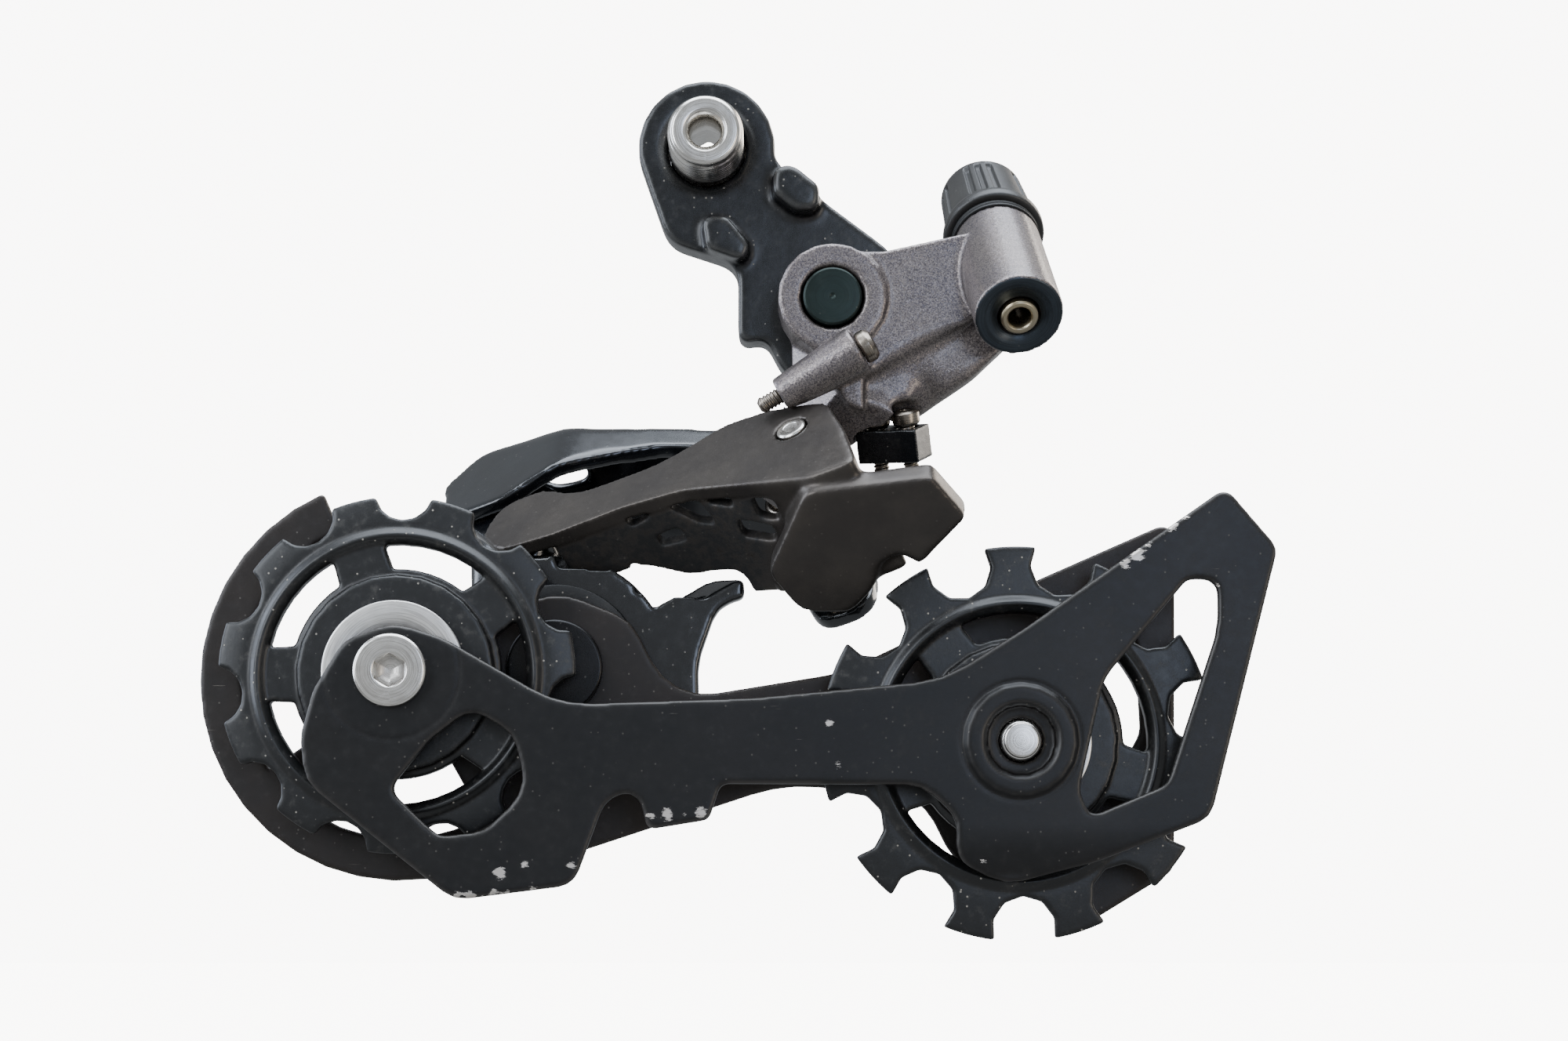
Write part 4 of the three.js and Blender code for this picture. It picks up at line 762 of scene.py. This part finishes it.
# the wall below the link's top face, as far as the cable arm, is darkened with the grime colour
ARM_FROM = place_in("inner_link", 0.619, 0, 0)[0]
TOWARD_WHEELS = axis_of("inner_link_swing", (0, -1, 0))
co = points_of(inner_link) / MM
depth = (co - TOWARD_WHEELS[0]) @ TOWARD_WHEELS[1]
below_top_face = np.clip((depth.max() - depth - 2.1) / 0.6, 0, 1) * np.clip((ARM_FROM - co[:, 0]) / 2, 0, 1)
note(inner_link, "hollow", below_top_face)
put("inner_link_skin", inner_link, ["inner_link"], grey_anodised)
outer_link = melt(cast_skin("outer_link", 0.28, 24), place_in("outer_link", 0.28, 0.582, 0.955), 12, 80)
put("outer_link_skin", outer_link, ["outer_link"], gunmetal_paint)
put("clamp_plate_skin", cast_skin("cable_clamp_plate", 0.14, 4), ["cable_clamp_plate"], screw_steel)
BARREL_R = 14.4


def knuckle_form(co):
    """Takes the flats out of the knuckle's round barrel."""
    out = co - CAGE[0]
    out[:, 1] = 0
    away = np.hypot(out[:, 0], out[:, 2])
    near = np.clip((away - BARREL_R + 0.42) / 0.14, 0, 1) * (away < BARREL_R + 0.05)
    return co + out * ((BARREL_R - 0.03 - away) * near / np.maximum(away, 1))[:, None]


put("knuckle_skin", cast_skin("p_knuckle", 0.28, 14, knuckle_form), ["p_knuckle"], gloss_black)

a, b = span("p_bush", CAGE)
put("knuckle_bush", turned("p_bush", CAGE, [(4.25, a), (5.6, a), (5.6, b), (4.25, b)]), ["p_bush"], brass)
a, b = span("p_axle", CAGE)
p_axle_rows = [(0, a), (5.7, a), (6.0, a + 0.2), (6.0, a + 0.7), (3.95, a + 0.7), (3.95, b - 0.5), (3.6, b),
               (1.9, b), (1.75, b - 0.2, hexagon), (1.75, b - 3.2, hexagon), (0, b - 3.6)]
put("cage_axle", turned("p_axle", CAGE, p_axle_rows), ["p_axle"], black_oxide)
a, b = span("p_seal", CAGE)
put("knuckle_seal", turned("p_seal", CAGE, [(4.25, a), (10.6, a), (10.6, b), (4.25, b)]), ["p_seal"], black_rubber)
a, b = span("p_cap", CAGE)
p_cap_rows = [(4.2, a), (7.4, a), (7.4, b - 0.6), (6.8, b), (4.2, b)]
put("knuckle_cap", turned("p_cap", CAGE, p_cap_rows, ease=0.25), ["p_cap"], black_casting)


# ---------------------------------------------------------------- cage plates
def distance_from(line, co):
    """How far points stand from a line that runs across the part."""
    return np.hypot(co[:, 0] - line[0][0], co[:, 2] - line[0][2])


# Each pressed ring's line, radius, depth and width, then where the bend of the bottom edge starts: its height
# over the plate's lowest point and its distance from the left-hand end.
PRESSED_RINGS = ((TENSION, 7.1, 0.14, 0.28), (TENSION, 4.3, 0.22, 0.3), (GUIDE, 8.3, 0.07, 0.3))
BEND_UP, BEND_RIGHT, BEND_DEEP = 8.89, 72.12, 0.9


def inner_plate_form(co):
    """Pressed rings round the two bolts, and a soft bend along the bottom edge."""
    low, high = box_mm("cage_inner_plate")
    face = np.clip((co[:, 1] - high[1]) / (low[1] - high[1]), 0, 1)
    for line, radius, deep, wide in PRESSED_RINGS:
        co[:, 1] += deep * face * np.exp(-((distance_from(line, co) - radius) / wide) ** 2)
    right, up = co[:, 0] - low[0], co[:, 2] - low[2]
    under = np.clip((BEND_UP - up) / 6, 0, 1) * np.clip((right - BEND_RIGHT) / 6, 0, 1)
    co[:, 1] += BEND_DEEP * under ** 2 * face
    return co


inner_plate = cast_skin("cage_inner_plate", 0.25, 9, inner_plate_form)
PLATE_LOW, PLATE_HIGH = box_mm("cage_inner_plate")


def rubbed(right, up, radius):
    """A rubbed spot on the inner plate's face, in millimetres from the lower left corner of its box."""
    return PLATE_LOW[0] + right, PLATE_LOW[1], PLATE_LOW[2] + up, radius


def rubbed_row(start, end, count, radius):
    """Rubbed spots in a row along an edge of the inner plate, from one (right, up) to another."""
    row = []
    for k in range(count):
        share = k / (count - 1)
        right, up = (a + (b - a) * share for a, b in zip(start, end))
        row.append(rubbed(right, up, radius * (1 + 0.3 * math.sin(9 * share))))
    return row


spots = [rubbed(19.12 + 1.5 * k, 0.2 + 0.05 * k, 2.0 + 0.5 * math.sin(2.3 * k)) for k in range(10)]
# singly, along the lower edge
spots += [rubbed(24.12, 3.0, 2.2), rubbed(27.12, 4.2, 1.6), rubbed(32.62, 4.0, 1.8), rubbed(82.12, 4.39, 2.2)]
# in the middle of the plate, and near its right-hand end
spots += [rubbed(63.62, 20.89, 1.7), rubbed(64.72, 15.89, 1.5), rubbed(67.62, 22.89, 1.2), rubbed(110.12, 37.39, 1.8)]
# in rows, along the left-hand end, the right-hand end and the edge between them
spots += rubbed_row((-0.28, 12.39), (8.92, 4.49), 8, 1.9)
spots += rubbed_row((99.42, 40.39), (106.12, 46.19), 6, 2.2)
spots += rubbed_row((42.12, 9.89), (50.12, 10.39), 5, 1.8)
scuffs(inner_plate, spots)
put("cage_inner_plate_skin", inner_plate, ["cage_inner_plate"], black_plate)
put("cage_outer_plate_skin", cast_skin("cage_outer_plate", 0.29, 8), ["cage_outer_plate"], brown_plate)

STOP_PIN = middle("cage_stop_pin", CAGE[1])
STOP_PIN[0][1] = 0
a, b = span("cage_stop_pin", STOP_PIN)
low, high = box_mm("cage_stop_pin")
STOP_R = (high[0] - low[0]) / 2
stop_rows = [(0, a), (STOP_R - 0.3, a), (STOP_R, a + 0.3), (STOP_R, b - 0.3), (STOP_R - 0.3, b), (0, b)]
put("cage_stop_pin_steel", turned("cage_stop_pin", STOP_PIN, stop_rows, 64, 0.1), ["cage_stop_pin"], screw_steel)


# ---------------------------------------------------------------- wheels
LIP_R, TOOTH_ROOT_R = 17.0, 18.8
low, high = box_mm("guide_wheel")
WHEEL_MID = (low[1] + high[1]) / 2


def wheel_form(line, tip):
    """Raises the rim's lip and thins the teeth towards their tips."""
    def form(co):
        deep = co[:, 1] - WHEEL_MID
        away = distance_from(line, co)
        lip = np.clip(1 - np.abs(away - LIP_R) / 1.15, 0, 1)
        lip = lip * lip * (3 - 2 * lip)
        outside = np.clip((np.abs(deep) - 0.5) / 0.6, 0, 1)
        deep = deep + np.sign(deep) * 0.75 * lip * outside
        thin = 1 - 0.32 * np.clip((away - TOOTH_ROOT_R) / (tip - TOOTH_ROOT_R), 0, 1) ** 1.5
        co[:, 1] = WHEEL_MID + deep * thin
        return co
    return form


for prefix, line, tip in (("guide", GUIDE, 21.9), ("tension", TENSION, 24.1)):
    node = prefix + "_wheel"
    put(node + "_nylon", cast_skin(node, 0.24, 5, wheel_form(line, tip)), [node], black_nylon)
for prefix, line in (("guide", GUIDE), ("tension", TENSION)):
    for side in ("inner", "outer"):
        node = f"{prefix}_{side}_cap"
        a, b = span(node, line)
        rows = [(2.75, a), (8.7, a), (8.7, b), (2.75, b)]
        put(node + "_ring", turned(node, line, rows, 96, 0.2), [node], pale_cap)
    node = prefix + "_bush"
    a, b = span(node, line)
    put(node + "_ring", turned(node, line, [(2.75, a), (4.4, a), (4.4, b), (2.75, b)], 64, 0.1), [node], screw_steel)

a, b = span("guide_bolt", GUIDE)
guide_rows = [(0, a + 1.45), (1.62, a + 1.2, hexagon), (1.75, a + 0.25, hexagon), (2.15, a), (4.1, a),
              (4.4, a + 0.25), (4.4, a + 1.2), (2.45, a + 1.2)]
guide_rows += thread(2.45, a + 1.4, b - 0.5, 0.8, 0.2) + [(2.2, b), (0, b)]
put("guide_bolt_steel", turned("guide_bolt", GUIDE, guide_rows, 96, 0.1), ["guide_bolt"], bright_steel)
a, b = span("tension_bolt", TENSION)
tension_rows = [(0, a), (1.95, a), (2.1, a + 0.15), (2.1, a + 0.8)] + thread(2.45, a + 1.0, b - 1.4, 0.8, 0.2)
tension_rows += [(2.45, b - 1.2), (4.4, b - 1.2), (4.4, b - 0.25), (4.1, b), (2.0, b), (1.75, b - 0.2, hexagon),
                 (1.75, b - 2.4, hexagon), (0, b - 2.7)]
put("tension_bolt_steel", turned("tension_bolt", TENSION, tension_rows, 96, 0.1), ["tension_bolt"], bright_steel)

# ---------------------------------------------------------------- floor
floor_mesh = bpy.data.meshes.new("studio_floor")
HALF, DROP = 4.0, cad_box[0].z - 0.11
corners = [(-HALF, -HALF, DROP), (HALF, -HALF, DROP), (HALF, HALF, DROP), (-HALF, HALF, DROP)]
floor_mesh.from_pydata(corners, [], [(0, 1, 2, 3)])
floor = bpy.data.objects.new("studio_floor", floor_mesh)
bpy.context.scene.collection.objects.link(floor)
floor_paint = bpy.data.materials.new("pale_matt_floor")
floor_paint.use_nodes = True
floor_tree = floor_paint.node_tree
floor_tree.nodes.clear()
where = add(floor_tree, "ShaderNodeTexCoord").outputs["Object"]
cloud = noise(floor_tree, where, 9.0, 3.0)
tone = blend(floor_tree, ramp(floor_tree, cloud, 0.35, 0.7), linear("f6f1e8"), linear("fbf9f5"))
finish_coat = add(floor_tree, "ShaderNodeBsdfPrincipled", {
    "Base Color": tone, "Roughness": 0.6, "Emission Color": linear("fffdfa"), "Emission Strength": 9.0})
add(floor_tree, "ShaderNodeOutputMaterial", {"Surface": finish_coat.outputs[0]})
floor_mesh.materials.append(floor_paint)
# the floor is seen bright but doesn't light the part from below, as a lit paper sweep behind it would not
floor.visible_diffuse = False
floor.visible_glossy = False
